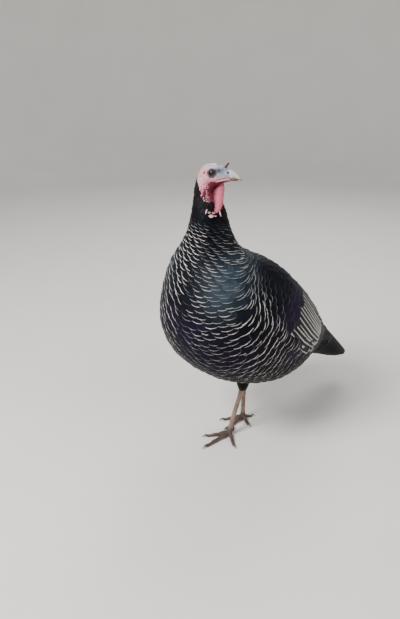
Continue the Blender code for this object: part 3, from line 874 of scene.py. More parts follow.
def head_colours(ring, angle, points, bead):
    """Colours of the bare skin, from the pale crown to the flushed throat."""
    reach, _, height = head_places(points)
    around = off_back(angle)
    mottle = noise(points, 0.006, 21)
    line, u = mouth_line(reach)
    front = smooth(0.008, 0.020, reach + 0.002 * mottle) * smooth(0.6955, 0.7010, height)
    lore = hump(reach, 0.0235, 0.0100) * hump(height, 0.7110, 0.0055)
    lid = np.hypot(reach - EYE[0], height - EYE[2]) + 0.0006 * mottle
    cheek = hump(reach, 0.0005, 0.008) * hump(height, 0.6905, 0.004)
    throat = smooth(0.692, 0.682, height)
    crease = smooth(97, 112, around + 6 * mottle) * smooth(0.6915, 0.6860, height)
    lip = hump(height, line - LIP_DROP, 0.0014) * (u > 0)
    slit = hump(height, line, 0.0007) * smooth(-0.02, 0.05, u)
    slit = slit * (reach > GAPE_CORNER[0] - 0.001)
    cere = np.hypot((reach - NOSTRIL[0]) / 0.0085, (height - NOSTRIL[1]) / 0.0044)
    ear = np.hypot((reach - EAR[0]) / 0.0026, (height - EAR[1]) / 0.0032)
    return painted(
        "face_pink", ring.shape,
        # Blue-grey skin runs from the eye to the bill, darkest in the hollow before the eye.
        ("face_blue", front),
        ("lore_grey", np.clip(1.1 * lore, 0, 1)),
        ("crown_pale", 0.8 * smooth(0.714, 0.721, height + 0.001 * mottle)),
        ("lore_grey", 0.35 * smooth(0.1, 0.7, mottle) * smooth(0.718, 0.724, height)),
        ("lid_grey", 0.92 * smooth(0.0124, 0.0090, lid)),
        ("nape_red", 0.45 * cheek),
        ("nape_red", 0.85 * throat * smooth(60, 92, around)),
        ("crease_red", crease),
        ("face_pale", 0.8 * bead**2),
        ("lip_pink", 0.85 * lip * (1 - u)),
        # Painted shade darkens the mouth's groove.
        ("gape_dark", 0.85 * slit),
        # The skin turns to horn at the bill, and swells palely round the nostril.
        ("horn_base", 0.9 * smooth(26.2, BILL_BASE, ring)),
        ("crown_pale", 0.5 * smooth(1.2, 0.6, cere)),
        # Painted shade fills the nostril.
        ("nostril_dark", smooth(1.15, 0.7, nostril_away(reach, height))),
        # Painted shade fills the ear's opening.
        ("ear_dark", smooth(1.3, 0.5, ear)),
        # Under the neck's last feathers it is in the dark.
        (hue("crease_red") * 0.25, 0.8 * smooth(18.1, 17.4, ring)),
    )


def body_skin():
    """The skin from the tail tip to the bill as one lofted grid, close on the head: the
    plumage's form, sunk by its depth, with the face's relief and the throat's beads."""
    rows = np.concatenate([np.linspace(0, 16.6, 44, endpoint=False), np.linspace(16.6, 27, 176)])
    q = np.linspace(-np.pi, np.pi, SKIN_AROUND, endpoint=False)
    ring, angle = np.broadcast_arrays(rows[:, None], q + FRONT_CROWDING * np.sin(q))
    normal = tangents(plumed, ring, angle)[2]
    points = plumed(ring, angle) - normal * coat_depth(ring)[..., None]
    bead = beads(ring, angle, points)
    face = smooth(17.3, 18.0, ring) * smooth(BILL_BASE, BILL_BASE - 0.15, ring)
    out = face * face_relief(points) + BEAD_HEIGHT * bead
    # It ends just under the surface of the bill, and thins towards the lower half.
    below = smooth(GAPE_HEIGHT, GAPE_HEIGHT - 0.0020, points[..., 2])
    out -= 0.0007 * smooth(26.3, BILL_BASE, ring) + 0.0012 * smooth(25.8, BILL_BASE, ring) * below
    points = points + grid_normals(points) * out[..., None]
    # Behind each eye's opening the skin dips inside the eyeball.
    reach, side, height = head_places(points)
    away = np.hypot(reach - EYE[0], height - EYE[2])
    dip = smooth(SOCKET_RADIUS + 0.0006, SOCKET_RADIUS - 0.0004, away) * (ring > SOCKET_FROM)
    inner = np.sign(side) * (EYE[1] + 0.0015)
    dipped = on_head(reach, side + (inner - side) * dip, height)
    points = np.where((dip > 0)[..., None], dipped, points)
    bare = head_colours(ring, angle, points, bead)
    return coloured_form(points, blend(markings(ring, angle)[0], bare, bare_share(ring, angle)))


def dewlap_form():
    """The hanging throat flap: oval sections between its root and its free edge, wider at the
    root, where they meet the throat, and rounded off below. Its folds are a cosine."""
    rows = np.vstack([DEWLAP[0] + FLAP_COLLAR, DEWLAP])
    row = np.linspace(0, len(rows) - 1, 72)[:, None]
    height, turn, free, root, half = np.moveaxis(between(rows, row), -1, 0)
    tip = np.clip((row / row[-1] - FLAP_ROUND[0]) / FLAP_ROUND[1], 0, 1)
    ends = np.sqrt(1 - tip**2)
    q = np.linspace(0, 2 * np.pi, 56, endpoint=False)
    ahead, rear = np.cos(q), np.clip(-np.cos(q), 0, 1)
    reach = (free + root) / 2 + (free - root) / 2 * ahead * ends
    points = turned(reach, half * np.sin(q) * ends * (1 + 0.5 * rear**2), height, turn)
    out = 0.00032 * noise(points, 0.0042, 3) + 0.00022 * noise(points, 0.0014, 4)
    phase = reach * 2 * np.pi / FOLD_SPACING + 2 * noise(points, 0.012, 6)
    out += FOLD_DEPTH * np.cos(phase) * ends
    points = points + grid_normals(points) * out[..., None]
    edge = np.clip((reach - root) / (free - root), 0, 1) + 0.05 * noise(points, 0.004, 7)
    veins = smooth(0.25, 0.7, noise(points * (1, 1, 0.35), 0.0030, 17))
    return coloured_form(points, painted(
        "crease_red", reach.shape,
        ("throat_pink", smooth(0.22, 0.62, edge)),
        ("crease_red", 0.16 * veins),
        ("crease_red", 0.22 * smooth(0.6420, 0.6240, height)),
        ("crease_red", 0.5 * smooth(0.6780, 0.6860, height)),
    ))


def snood_form():
    """The small fleshy snood, a blunt rod that leans forwards along a parabola, pale above
    and dark below, where the darkness is painted shade."""
    around = 20
    u = np.linspace(-0.5, 0.84, 34)
    reach = SNOOD_ROOT[0] + SNOOD_LENGTH * (0.55 * u + 0.10 * u**2)
    height = SNOOD_ROOT[1] + SNOOD_LENGTH * (0.85 * u - 0.15 * u**2)
    radii = SNOOD_RADIUS * np.sqrt(np.clip(1 - (np.abs(u) * 1.18) ** 6, 0.01, 1))
    radii = radii * (0.98 + 0.035 * np.cos(u * 34)) * (1.3 - 0.3 * smooth(-0.15, 0.3, u))
    rings = tube(on_head(reach, 0.0, height), radii, around)
    under = -np.sin(np.linspace(0, 2 * np.pi, around, endpoint=False))[None]
    # Painted shade darkens the sides and underside, and the top less.
    shade = (hue("ear_dark") * 0.15, 0.95 * smooth(-1.3, -0.6, under))
    return coloured_form(rings, painted("face_pale", rings.shape[:2], shade))


def eyelids(side):
    """Two soft rims of skin round an eye: a ring on the eyeball, narrower in front and
    behind, thicker above. Oval sections stand across it."""
    q = np.linspace(0, 2 * np.pi, 56, endpoint=False)
    centre = np.array([EYE[0], side * EYE[1], EYE[2]])
    a = LID_WIDE * np.cos(q) - 0.0002
    b = LID_TALL * np.sin(q) * (1 - 0.10 * np.cos(q) ** 2)
    out = np.sqrt(EYE_RADIUS**2 - a**2 - b**2)
    ahead = np.stack([a, side * out, b], -1)
    ahead /= np.linalg.norm(ahead, axis=-1, keepdims=True)
    along = np.roll(ahead, -1, 0) - np.roll(ahead, 1, 0)
    along /= np.linalg.norm(along, axis=-1, keepdims=True)
    away = np.cross(along, ahead)
    away *= np.sign(np.einsum("ij,ij->i", away, ahead * (1, 0, 1)))[:, None]
    thick = 0.00062 + 0.00030 * smooth(-0.2, 0.8, np.sin(q))
    t = np.linspace(0, 2 * np.pi, 12, endpoint=False)
    core = centre + ahead * (EYE_RADIUS + 0.0001)
    rims = core[:, None] + thick[:, None, None] * (
        0.9 * np.sin(t)[None, :, None] * ahead[:, None]
        + 1.5 * (np.cos(t) * 0.8 + 0.5)[None, :, None] * away[:, None]
    )
    points = on_head(rims[..., 0], rims[..., 1], rims[..., 2]).reshape(-1, 3)
    count, around = rims.shape[:2]
    i = np.arange(count)[:, None] * around
    n = (np.arange(count) + 1)[:, None] % count * around
    j = np.arange(around)[None]
    k = (j + 1) % around
    faces = [np.stack([i + j, i + k, n + k, n + j], -1).reshape(-1, 4)]
    inner = smooth(0.6, -0.6, np.cos(t))[None]
    tint = painted("lid_grey", (count, around), ("plume_brown", 0.9 * inner))
    return *outward(points, faces), tint.reshape(-1, 3)


def hanging_beads():
    """The large caruncles under the dewlap, pale on their bulging lower sides, and the tapered
    ones that hang beside them."""
    for number, (reach, turn, height, radius) in enumerate(CARUNCLES):
        rings = ball(np.zeros(3), radius * 0.85, 22)
        lumps = 0.00055 * noise(rings + 0.1 * number, 0.0028, 9)
        rings = rings * (1 + lumps[..., None] / radius) * (1.15, 1.15, 0.85)
        pale = (0.6, -0.6) if number else (1.0, -0.1)  # heights where it starts and is full
        low = smooth(*pale, rings[..., 2] / radius)
        tint = painted("crease_red", low.shape, ("face_pale", low))
        yield coloured_form(rings + turned(reach, 0.0, height, turn), tint)
    for reach, turn, height, length, lean in TASSELS:
        u = np.linspace(0, 1, 14)
        path = turned(reach + 0.0015 * u, 0.0, height - length * u, turn + lean * u)
        round_ends = np.sqrt(np.sin(np.pi * np.clip(u, 0.02, 0.98)))
        rings = tube(path, TASSEL_RADIUS * round_ends * (1.1 - 0.5 * u), 12)
        tint = painted("lip_pink", rings.shape[:2], ("face_pale", u[:, None]))
        yield coloured_form(rings, tint)


LEG_MESH = 0.00124  # size of the quads of the legs' skin
SCUTE_LENGTH, SCUTE_RISE = 0.0052, 0.00045  # on the tarsus
TOE_SCUTE_LENGTH, TOE_SCUTE_RISE = 0.0036, 0.0004
TARSUS_BOW = 0.0025
HOCK_TOP = 0.126  # where the scutes end and the shank's feathers start


def leg_places(side):
    """Where a leg's foot, hock and upper end are."""
    foot = FEET[side]
    places = (*foot["joint"], ANKLE_HEIGHT), foot["hock"], foot["shank"]
    return [BETWEEN_FEET + each for each in places]


def pointing(heading):
    """Direction on the ground, by its angle in degrees from straight ahead to the left."""
    heading = math.radians(heading)
    return np.array([math.sin(heading), -math.cos(heading)])


def toe_form(ankle, heading, length, radius):
    """One toe, which rises into the ankle along a power curve and swells at its pads."""
    u = np.linspace(0, 1, 40)
    thick = radius * (1.12 - 0.36 * u + 0.07 * np.cos(6 * np.pi * u))
    thick = thick * np.sqrt(1 - 0.9 * (np.clip(u - 0.93, 0, 1) / 0.1) ** 2)
    arch = (ANKLE_HEIGHT - radius) * (1 - u) ** 2.2
    x, y = (ankle[:2] + pointing(heading) * (length * u)[:, None]).T
    return closed_form(tube(np.stack([x, y, thick - SOLE_CUT + arch], -1), thick, 20))


def tarsus_form(ankle, hock):
    """The tarsus from the ankle to the hock, bowed along half a sine, with swollen ends."""
    u = np.linspace(0, 1, 40)
    path = ankle + (hock - ankle) * u[:, None]
    path[:, 1] -= np.sin(np.pi * u) * TARSUS_BOW
    swell = 1 + 0.30 * hump(u, 0, 0.10) + 0.52 * hump(u, 1, 0.13)
    return closed_form(tube(path, TARSUS_RADIUS * swell, 24))


def remeshed(points, faces, size):
    """One closed skin of even quads over overlapping closed forms, with its normals."""
    block = new_object("block", points, faces)
    cover = block.modifiers.new("Remesh", "REMESH")
    cover.mode = "VOXEL"
    cover.voxel_size = size
    graph = bpy.context.evaluated_depsgraph_get()
    mesh = bpy.data.meshes.new_from_object(block.evaluated_get(graph))
    found, normals = np.zeros((2, len(mesh.vertices) * 3), np.float32)
    mesh.vertices.foreach_get("co", found)
    mesh.vertices.foreach_get("normal", normals)
    corners = np.zeros(len(mesh.loops), np.int32)
    mesh.loops.foreach_get("vertex_index", corners)
    bpy.data.objects.remove(block, do_unlink=True)
    found, normals = (each.reshape(-1, 3).astype(float) for each in (found, normals))
    return found, [corners.reshape(-1, 4).astype(np.int64)], normals


def toe_scutes(points, normals, ankle, toes):
    """How far the scutes on top of the toes stand out, and how dark their grooves are: a
    saw-tooth along the toe that is nearest."""
    nearest = np.full(len(points), 9.0)
    out, dark = np.zeros((2, len(points)))
    for heading, _ in toes:
        ahead = pointing(heading)
        along = (points[:, :2] - ankle[:2]) @ ahead
        off = np.abs((points[:, :2] - ankle[:2]) @ (-ahead[1], ahead[0]))
        off = np.where(along > 0.004, off, 9.0)
        closer = off < nearest
        phase = (along / TOE_SCUTE_LENGTH) % 1
        upper = smooth(0.1, 0.6, normals[:, 2]) * smooth(0.008, 0.014, along)
        out = np.where(closer, TOE_SCUTE_RISE * upper * phase**0.7, out)
        dark = np.where(closer, 0.6 * upper * smooth(0.2, 0.0, phase), dark)
        nearest = np.minimum(nearest, off)
    return out, dark


def leg_skin(side):
    """One leg's skin from the toes into the belly: tubes and a ball under one cover, with
    overlapping scutes down the front of the tarsus and along the top of each toe."""
    ankle, hock, top = leg_places(side)
    toes = FEET[side]["toes"]
    forms = [toe_form(ankle, *toes[name], TOE_RADIUS[name]) for name in toes]
    forms.append(closed_form(ball((*ankle[:2], PAD_HEIGHT), PAD_RADIUS, 20)))
    forms.append(tarsus_form(ankle, hock))
    u = np.linspace(-0.05, 1, 12)
    radii = HOCK_RADIUS + (SHANK_RADIUS * 0.8 - HOCK_RADIUS) * np.clip(u, 0, 1) ** 1.1
    forms.append(closed_form(tube(hock + (top - hock) * u[:, None], radii, 24)))
    points, faces, normals = remeshed(*joined(forms), LEG_MESH)

    # Each scute is a step that rises towards the foot, then drops.
    z = points[:, 2]
    tarsus = smooth(0.020, 0.030, z) * smooth(HOCK_TOP, HOCK_TOP - 0.006, z)
    tarsus *= smooth(-0.2, 0.4, -normals[:, 1])
    phase = (z / SCUTE_LENGTH) % 1
    toe_out, toe_dark = toe_scutes(points, normals, ankle, toes.values())
    low = smooth(0.026, 0.018, z)
    dirt = smooth(-0.1, 0.6, noise(points, 0.012, 8)) * (z < 0.13)
    tint = painted(
        "leg_pink", z.shape,
        ("leg_dark", 0.55 * smooth(0.85, 1.0, phase) * tarsus),
        ("leg_dark", 0.85 * low),
        (hue("leg_dark") * 0.5, low * toe_dark),
        ("plume_black", smooth(HOCK_TOP, HOCK_TOP + 0.008, z)),
        ("leg_dark", 0.35 * dirt),
    )
    out = SCUTE_RISE * tarsus * (1 - phase) ** 0.7 + low * toe_out
    points = points + normals * out[:, None]
    points[:, 2] = np.maximum(points[:, 2], 0.0)
    return points, faces, tint


def build_skin():
    """All the flesh's skins as one piece."""
    bare = [body_skin(), snood_form(), dewlap_form(), *hanging_beads()]
    bare += [eyelids(sign) for _, sign in SIDES]
    legs = [leg_skin(side) for side, _ in SIDES]
    points, faces = joined([form[:2] for form in bare + legs])
    counts = [sum(len(one) for form in forms for one in form[1]) for forms in (bare, legs)]
    flesh = ["trunk", "neck", "head", "tail", "dewlap", "snood"]
    for side, _ in SIDES:
        flesh += [f"{part}_{side}" for part in ("wing", "thigh", "tarsus", "foot")]
    new_piece(
        "skin", "head_skin", [bare_skin, scaly_hide], points, faces, flesh, sharp=65,
        slots=np.repeat([0, 1], counts), tint=np.concatenate([form[2] for form in bare + legs]),
    )


# ------------------------------------------------------------------ feathers
VANE_ACROSS = np.array([-1, -0.86, -0.45, 0, 0.45, 0.86, 1])
VANE_BELOW = np.array([0.10, 0.38, 0.68, 0.90])  # shares of the part before the rounded tip
VANE_TIP = np.array([0.0, 0.40, 0.70, 0.88, 0.97])  # shares of the rounded tip
VANE_WIDEST = 0.75  # share of the part before the rounded tip that widens
RAGGED = (0.93, 1.05)  # how much narrower and wider a vane's edge wanders
ROWS, COLUMNS = len(VANE_BELOW) + len(VANE_TIP), len(VANE_ACROSS)
PATCH = 0.0015  # half the size of one feather's patch on the baking map
PATCH_ACROSS = np.array([-1, -0.45, -0.2, 0, 0.2, 0.45, 1])
PATCH_ALONG = np.array([-0.85, -0.65, -0.5, -0.35, -0.2, 0.0, 0.2, 0.45, 0.8])


def vane_faces(count):
    """Faces of many vanes: rows of quads on top, one wide quad a row underneath, and points
    at the root and the tip that close both."""
    i = np.arange(ROWS - 1)[:, None] * COLUMNS
    j = np.arange(COLUMNS - 1)[None]
    top = np.stack([i + j, i + j + 1, i + COLUMNS + j + 1, i + COLUMNS + j], -1)
    under = i + (0, COLUMNS, 2 * COLUMNS - 1, COLUMNS - 1)
    quads = np.concatenate([top, under[:, None]], 1).reshape(-1, 4)
    last, root, tip = (ROWS - 1) * COLUMNS, ROWS * COLUMNS, ROWS * COLUMNS + 1
    j = np.append(j[0], COLUMNS - 1)
    k = np.append(j[1:], 0)
    fans = np.concatenate([
        np.stack([k, j, np.full(COLUMNS, root)], -1),
        np.stack([last + j, last + k, np.full(COLUMNS, tip)], -1),
    ])
    shift = (np.arange(count) * (ROWS * COLUMNS + 2))[:, None, None]
    return [(quads + shift).reshape(-1, 4), (fans + shift).reshape(-1, 3)]


def vane_rows(length, half, round_tip, narrow):
    """Shares of the length at a vane's rows, with the root's and the tip's points as two more,
    half widths there, the rounded tip's share, and how far each row is into that tip. The
    width grows along a quarter of a sine, and the tip is half an ellipse."""
    blunt = np.clip(round_tip / length, 0.05, 0.6)
    below = VANE_BELOW[:, None] * (1 - blunt)
    u = np.concatenate([below, 1 - blunt + VANE_TIP[:, None] * blunt], 1)
    into = (u - (1 - blunt)) / blunt
    grown = np.sin(np.clip(u / (VANE_WIDEST * (1 - blunt)), 0, 1) * np.pi / 2)
    width = half * (narrow + (1 - narrow) * grown) * np.sqrt(1 - np.clip(into, 0, 1) ** 2)
    ends = np.zeros((len(length), 2, 1))
    return np.concatenate([u, ends + ((0,), (1,))], 1), np.concatenate([width, ends], 1), blunt, into


def laid_out(form, root, tip, u, x):
    """Places on a form, u of the way from root to tip and x metres to the side, and the
    form's normals there. The step to the side is square to the way and to the normal."""
    step = (tip - root)[:, None]
    centre = root[:, None] + step * u
    p, q = centre[..., 0], centre[..., 1]
    along, around, normal = tangents(form, p, q)
    ahead = along * step[..., :1] + around * step[..., 1:]
    ahead /= np.linalg.norm(ahead, axis=-1, keepdims=True)
    side = np.cross(ahead, normal)

    def dot(a, b):
        return np.einsum("nuk,nuk->nu", a, b)

    side *= np.sign(dot(side, around))[..., None]
    # Two linear equations: the shares of both rates whose sum is the unit step to the side.
    along_along, along_around = dot(along, along), dot(along, around)
    around_around = dot(around, around)
    side_along, side_around = dot(side, along), dot(side, around)
    scale = along_along * around_around - along_around**2
    p_share = (side_along * around_around - side_around * along_around) / scale
    q_share = (side_around * along_along - side_along * along_around) / scale
    p, q = p[..., None] + p_share[..., None] * x, q[..., None] + q_share[..., None] * x
    return form(p, q), tangents(form, p, q)[2]


def feathers(name, form, root, tip, half, round_tip, sink, rise, look, camber, roll=0.0,
             bake=None, narrow=0.45, edged=0.0):
    """A piece of many vanes. Each runs over a form from its root to its tip, both given as
    pairs of the form's parameters. Its half width grows from a narrow share at the root, and
    its end is half an ellipse. It rises from sink to rise over the form, its middle stands
    above its edges by camber, and one edge above the other by roll. The look is a colour, the
    strength of the pale rim and its width, for each vane. An edged vane's rim runs down its
    whole raised edge."""
    count = len(root)
    half, round_tip, sink, rise, roll, camber = (
        np.broadcast_to(np.asarray(v, float), (count,))[:, None, None]
        for v in (half, round_tip, sink, rise, roll, camber)
    )
    trail = root[:, None] + (tip - root)[:, None] * np.linspace(0, 1, 9)[:, None]
    trail = form(trail[..., 0], trail[..., 1])
    length = np.linalg.norm(np.diff(trail, axis=1), axis=-1).sum(1)[:, None, None]
    u, width, blunt, into = vane_rows(length, half, round_tip, narrow)
    rng = np.random.default_rng(len(name) + count)
    ragged = rng.uniform(*RAGGED, (count, ROWS, 2))
    ragged = np.concatenate([ragged, np.ones((count, 2, 2))], 1)
    v = VANE_ACROSS
    x = width * v * np.where(v < 0, ragged[..., :1], ragged[..., 1:])
    place, normal = laid_out(form, root, tip, u, x)
    height = sink + (rise - sink) * u**0.9 - camber * v**2 + roll * v * np.sin(np.pi * u / 2)
    place = place + normal * height[..., None]
    block = np.concatenate(
        [place[:, :ROWS].reshape(count, -1, 3), place[:, ROWS:, COLUMNS // 2]], 1
    )
    # All the vanes of a piece lie alike, so the first one tells which way their faces point.
    faces = vane_faces(count)
    if inside_out(block[0], vane_faces(1)):
        faces = [one[:, ::-1] for one in faces]

    # On the vanes' own map the rim's inner border is the unit circle.
    colour, pale, rim = look
    rim = np.broadcast_to(rim, (count,))[:, None]
    across = (x / half)[:, :ROWS].reshape(count, -1)
    across = np.concatenate([across, np.zeros((count, 2))], 1)
    raised = (np.sign(roll[..., 0]) * across < 0) & (edged > 0)
    across = across * np.where(raised, 0.5, 1) / (1 - rim / half[..., 0])
    down = np.repeat(into, COLUMNS, axis=2).reshape(count, -1)
    down = np.concatenate([down, 1 - 1 / blunt[:, 0], np.ones((count, 1))], 1)
    down = down / (1 - rim / round_tip[..., 0])
    size = block.shape[1]
    made = new_piece(
        name, "plumage", [feather_keratin], block.reshape(-1, 3), faces, sharp=70,
        tint=np.repeat(colour, size, axis=0), edged=np.full(count * size, edged),
        pale=np.repeat(np.broadcast_to(pale, (count,)), size),
    )
    patch = np.stack(np.meshgrid(PATCH_ACROSS, PATCH_ALONG), -1).reshape(-1, 2)
    patch = np.concatenate([patch, [(0.0, -1.0), (0.0, 1.0)]])
    home = bake_home(root) if bake is None else bake
    put_uv(made.data, "OFBake", (home[:, None] + PATCH * patch).reshape(-1, 2))
    put_uv(made.data, "vane", np.stack([across.ravel(), down.ravel()], -1))


def bake_home(root):
    """Where a ring and an angle lie on the skin unrolled from tail to bill."""
    angle = (root[:, 1] + np.pi) % (2 * np.pi)
    return np.stack([0.01 + 0.98 * angle / (2 * np.pi), 0.02 + 0.96 * root[:, 0] / BILL_BASE], -1)


# By ring: distance in mm between rows of feathers, and between the feathers of a row.
ROW_SPACING = ((0, 6, 10, 12.5, 14, 15.5, 17.4, 19, 21.5), (15, 15, 13.5, 12.5, 10, 8, 6.5, 5, 4))
FEATHER_SPACING = ((0, 6, 10, 12.5, 14.5, 16, 17.4, 19, 21.5), (29, 29, 28, 26, 19, 14, 11, 7, 6))
ROW_LENGTH = 2.8  # a body feather's length, in rows
HALF_WIDTH = 0.68  # half its width, in distances to the next
ROUND_TIP = 0.34  # length of its rounded tip, in half widths
SWEEP = 1.5  # rings by which a row climbs from the breast to the flank
FIRST_RING, LAST_RING = 17.7, 2.4  # between which the body's feathers have their tips
BELLY_RING, BACK_EDGE = 8.5, 75  # where the belly starts, and degrees where the back ends


def spacing(table, ring):
    """Metres from one row or feather to the next, between the table's values."""
    return chosen("feather_scale") * np.interp(ring, *table) / 1000


def swept(ring, angle):
    """Rings of a row's feathers once the row climbs towards the flanks."""
    around = off_back(angle)
    share = smooth(3.0, 8.0, ring) * smooth(16.5, 10.5, ring)
    return ring + SWEEP * share * smooth(128, 78, around) * smooth(48, 72, around)


def flow_turn(ring, angle):
    """Degrees by which feathers point away from the breast's middle: most round the wings'
    front, and over the whole breast on the right, since the bird turns to its left."""
    around = off_back(angle)
    flank = 64 * hump(around, 84, 23) * hump(ring, 11.3, 1.5)
    right = 42 * smooth(9.0, 10.4, ring) * smooth(13.8, 11.8, ring) * smooth(60, 100, around)
    left = -32 * hump(around, 172, 24) * hump(ring, 10.3, 0.9)
    return np.where(angle < 0, np.maximum(flank, right), flank + left)


def walked_along(line):
    """Distance walked along a line of points."""
    steps = np.linalg.norm(np.diff(line, axis=0), axis=1)
    return np.concatenate([[0], np.cumsum(steps)])


def rows_of_feathers(first, last, seed):
    """Tips of staggered rows round the body, as rings and angles, evenly apart in metres down
    the breast and round each row, and a little irregular."""
    rng = np.random.default_rng(seed)
    rings = np.linspace(last, first, 1200)
    down = walked_along(body(rings, np.full(rings.shape, np.radians(155))))
    angles = np.linspace(-np.pi, np.pi, 361)
    at, k, found = down[-1], 0, []
    while at > 0:
        ring = np.interp(at, down, rings)
        round_it = walked_along(body(np.full(angles.shape, ring), angles))
        count = max(8, int(round(round_it[-1] / spacing(FEATHER_SPACING, ring))))
        place = (np.arange(count) + 0.5 * (k % 2) + rng.uniform(-0.18, 0.18, count)) / count
        angle = np.interp(place % 1 * round_it[-1], round_it, angles)
        rate = (rings[1] - rings[0]) / np.diff(down).mean()
        drift = rng.uniform(-0.2, 0.2, count) * spacing(ROW_SPACING, ring) * rate
        found.append(np.stack([swept(ring + drift, angle), angle], -1))
        at -= spacing(ROW_SPACING, ring)
        k += 1
    return np.concatenate(found)


def in_wing(ring, angle):
    """Place across the folded wing: -1 at its upper rim, 1 at its lower, more outside it."""
    centre, half, _ = wing_place(ring)
    v = (off_back(angle) - centre) / half
    return np.where((ring > WING_REAR + 0.1) & (ring < WING_FRONT - 0.1), v, 9.0)


def upstream(tips, length):
    """Roots that lie a length before the tips, towards the head and, on the breast and the
    flanks, a little towards the breast's middle."""
    ring, angle = tips.T
    turn = np.radians(flow_turn(*tips.T))
    for _ in range(3):
        along, around, _ = tangents(plumed, (tips[:, 0] + ring) / 2, tips[:, 1])
        ring = tips[:, 0] + length * np.cos(turn) / np.linalg.norm(along, axis=-1)
    step = length * np.sin(turn) / np.linalg.norm(around, axis=-1)
    return np.stack([ring, angle + np.sign(angle) * step], -1)


def look_at(tips, seed):
    """Colours, rim strengths and rim widths for feathers with these tips, each a little
    different from the next."""
    rng = np.random.default_rng(seed)
    tint, pale, width = markings(*tips.T)
    tint = tint * rng.uniform(0.8, 1.25, (len(tips), 1))
    pale = np.clip(pale * rng.uniform(0.75, 1.2, len(tips)), 0, 1)
    return tint, pale, width * rng.uniform(0.8, 1.25, len(tips))


def contour_piece(name, tips, seed):
    """Body feathers with these tips, as one piece."""
    rng = np.random.default_rng(seed)
    ring = tips[:, 0]
    length = ROW_LENGTH * spacing(ROW_SPACING, ring) * rng.uniform(0.93, 1.07, len(tips))
    half = HALF_WIDTH * spacing(FEATHER_SPACING, ring) * rng.uniform(0.88, 1.10, len(tips))
    depth = np.clip(coat_depth(ring), 0.001, None)
    # Those along the wing's lower rim lie over it.
    over = hump(in_wing(*tips.T), 0.95, 0.25) * smooth(6.5, 7.0, ring) * smooth(10.5, 9.0, ring)
    feathers(
        name, plumed, upstream(tips, length), tips, half, half * ROUND_TIP,
        sink=-0.55 * depth, rise=rng.uniform(-0.0004, 0.0010, len(tips)) + 0.0012 * over,
        look=look_at(tips, seed + 1), camber=0.07 * half,
    )


def build_body_feathers():
    """Neck, breast, belly and back, in rows that the wings leave free."""
    tips = rows_of_feathers(FIRST_RING, LAST_RING, 11)
    ring, angle = tips.T
    place = in_wing(ring, angle)
    behind = (place > 1.04) | (place < -0.5)
    free = np.where(ring < 6.5, behind, np.abs(place) > 0.82) | (ring > 12.7)
    under_flap = (ring > 16.6) & (off_back(angle) > 168)
    bare = bare_share(ring, angle) > 0.5
    tips = tips[free & ~under_flap & ~bare]
    ring, below = tips[:, 0], off_back(tips[:, 1]) > BACK_EDGE
    on_neck = ring >= NECK_BASE
    contour_piece("feathers_neck", tips[on_neck], 21)
    contour_piece("feathers_breast", tips[~on_neck & (ring >= BELLY_RING) & below], 22)
    contour_piece("feathers_belly", tips[(ring < BELLY_RING) & below], 23)
    contour_piece("feathers_back", tips[~on_neck & ~below], 24)


def scattered(count, rings, angles, seed):
    """Random rings and angles, in degrees, on both sides of the back's middle."""
    rng = np.random.default_rng(seed)
    ring = rng.uniform(*rings, count)
    angle = np.radians(rng.uniform(*angles, count)) * rng.choice((-1, 1), count)
    return np.stack([ring, angle], -1)


def build_nape():
    """Small hair-like feathers that run up the nape in a wedge, and sparse bristles on the
    crown and cheeks."""
    tips = scattered(1100, (17.2, 21.4), (0, 112), 12)
    fringe = scattered(170, (17.15, 17.75), (100, 166), 14)
    tips = np.concatenate([tips[bare_share(*tips.T) < 0.25], fringe])
    rng = np.random.default_rng(31)
    root = upstream(tips, rng.uniform(0.007, 0.011, len(tips)))
    root[:, 1] += rng.uniform(-0.12, 0.12, len(tips))
    half = rng.uniform(0.0008, 0.0016, len(tips))
    tint = hue("plume_brown") * rng.uniform(0.5, 1.3, (len(tips), 1))
    feathers(
        "feathers_nape", plumed, root, tips, half, half * 1.6,
        sink=-0.0006, rise=rng.uniform(0.0004, 0.0022, len(tips)),
        look=(tint, rng.uniform(0, 0.5, len(tips)) ** 2, 0.0004), camber=0.0002,
    )
    tips = scattered(150, (20.8, 25.2), (0, 75), 13)
    root = upstream(tips, rng.uniform(0.003, 0.006, len(tips)))
    feathers(
        "bristles", plumed, root, tips, 0.00016, 0.001, sink=-0.0003,
        rise=rng.uniform(0.0006, 0.0024, len(tips)),
        look=(painted("plume_brown", (len(tips),)), 0.0, 0.0), camber=0.00005,
    )


def wing_to_body(k, v, sign):
    """Ring and angle of a place on the wing: row along it, and place across from -1 above to
    1 below."""
    ring, centre, half, _ = np.moveaxis(between(WING, k), -1, 0)
    return np.stack([ring, sign * np.radians(centre + half * v)], -1)


COVERT_ROWS = (0.75, 3.35)  # the first and the last row of coverts, in the wing's rows
COVERT_STEP = (0.011, 0.006)  # between rows of small coverts, and how much more for large ones
COVERT_APART = (0.018, 0.010)  # between the coverts of a row, likewise
COVERT_HALF = (0.0125, 0.0060)  # half a covert's width, likewise
FLIGHT_HALF = 0.0125  # half the width of a wing's flight feather
SECONDARY_ROOTS, PRIMARY_ROOTS = 2.3, 4.4  # in the wing's rows
TAIL_ROOTS, TAIL_HALF = 4.3, 0.016  # ring of the tail feathers' roots, and half their width
TAIL_RIDGE, TAIL_SPREAD = 8, 118  # degrees from the back of its first feather, and to its last


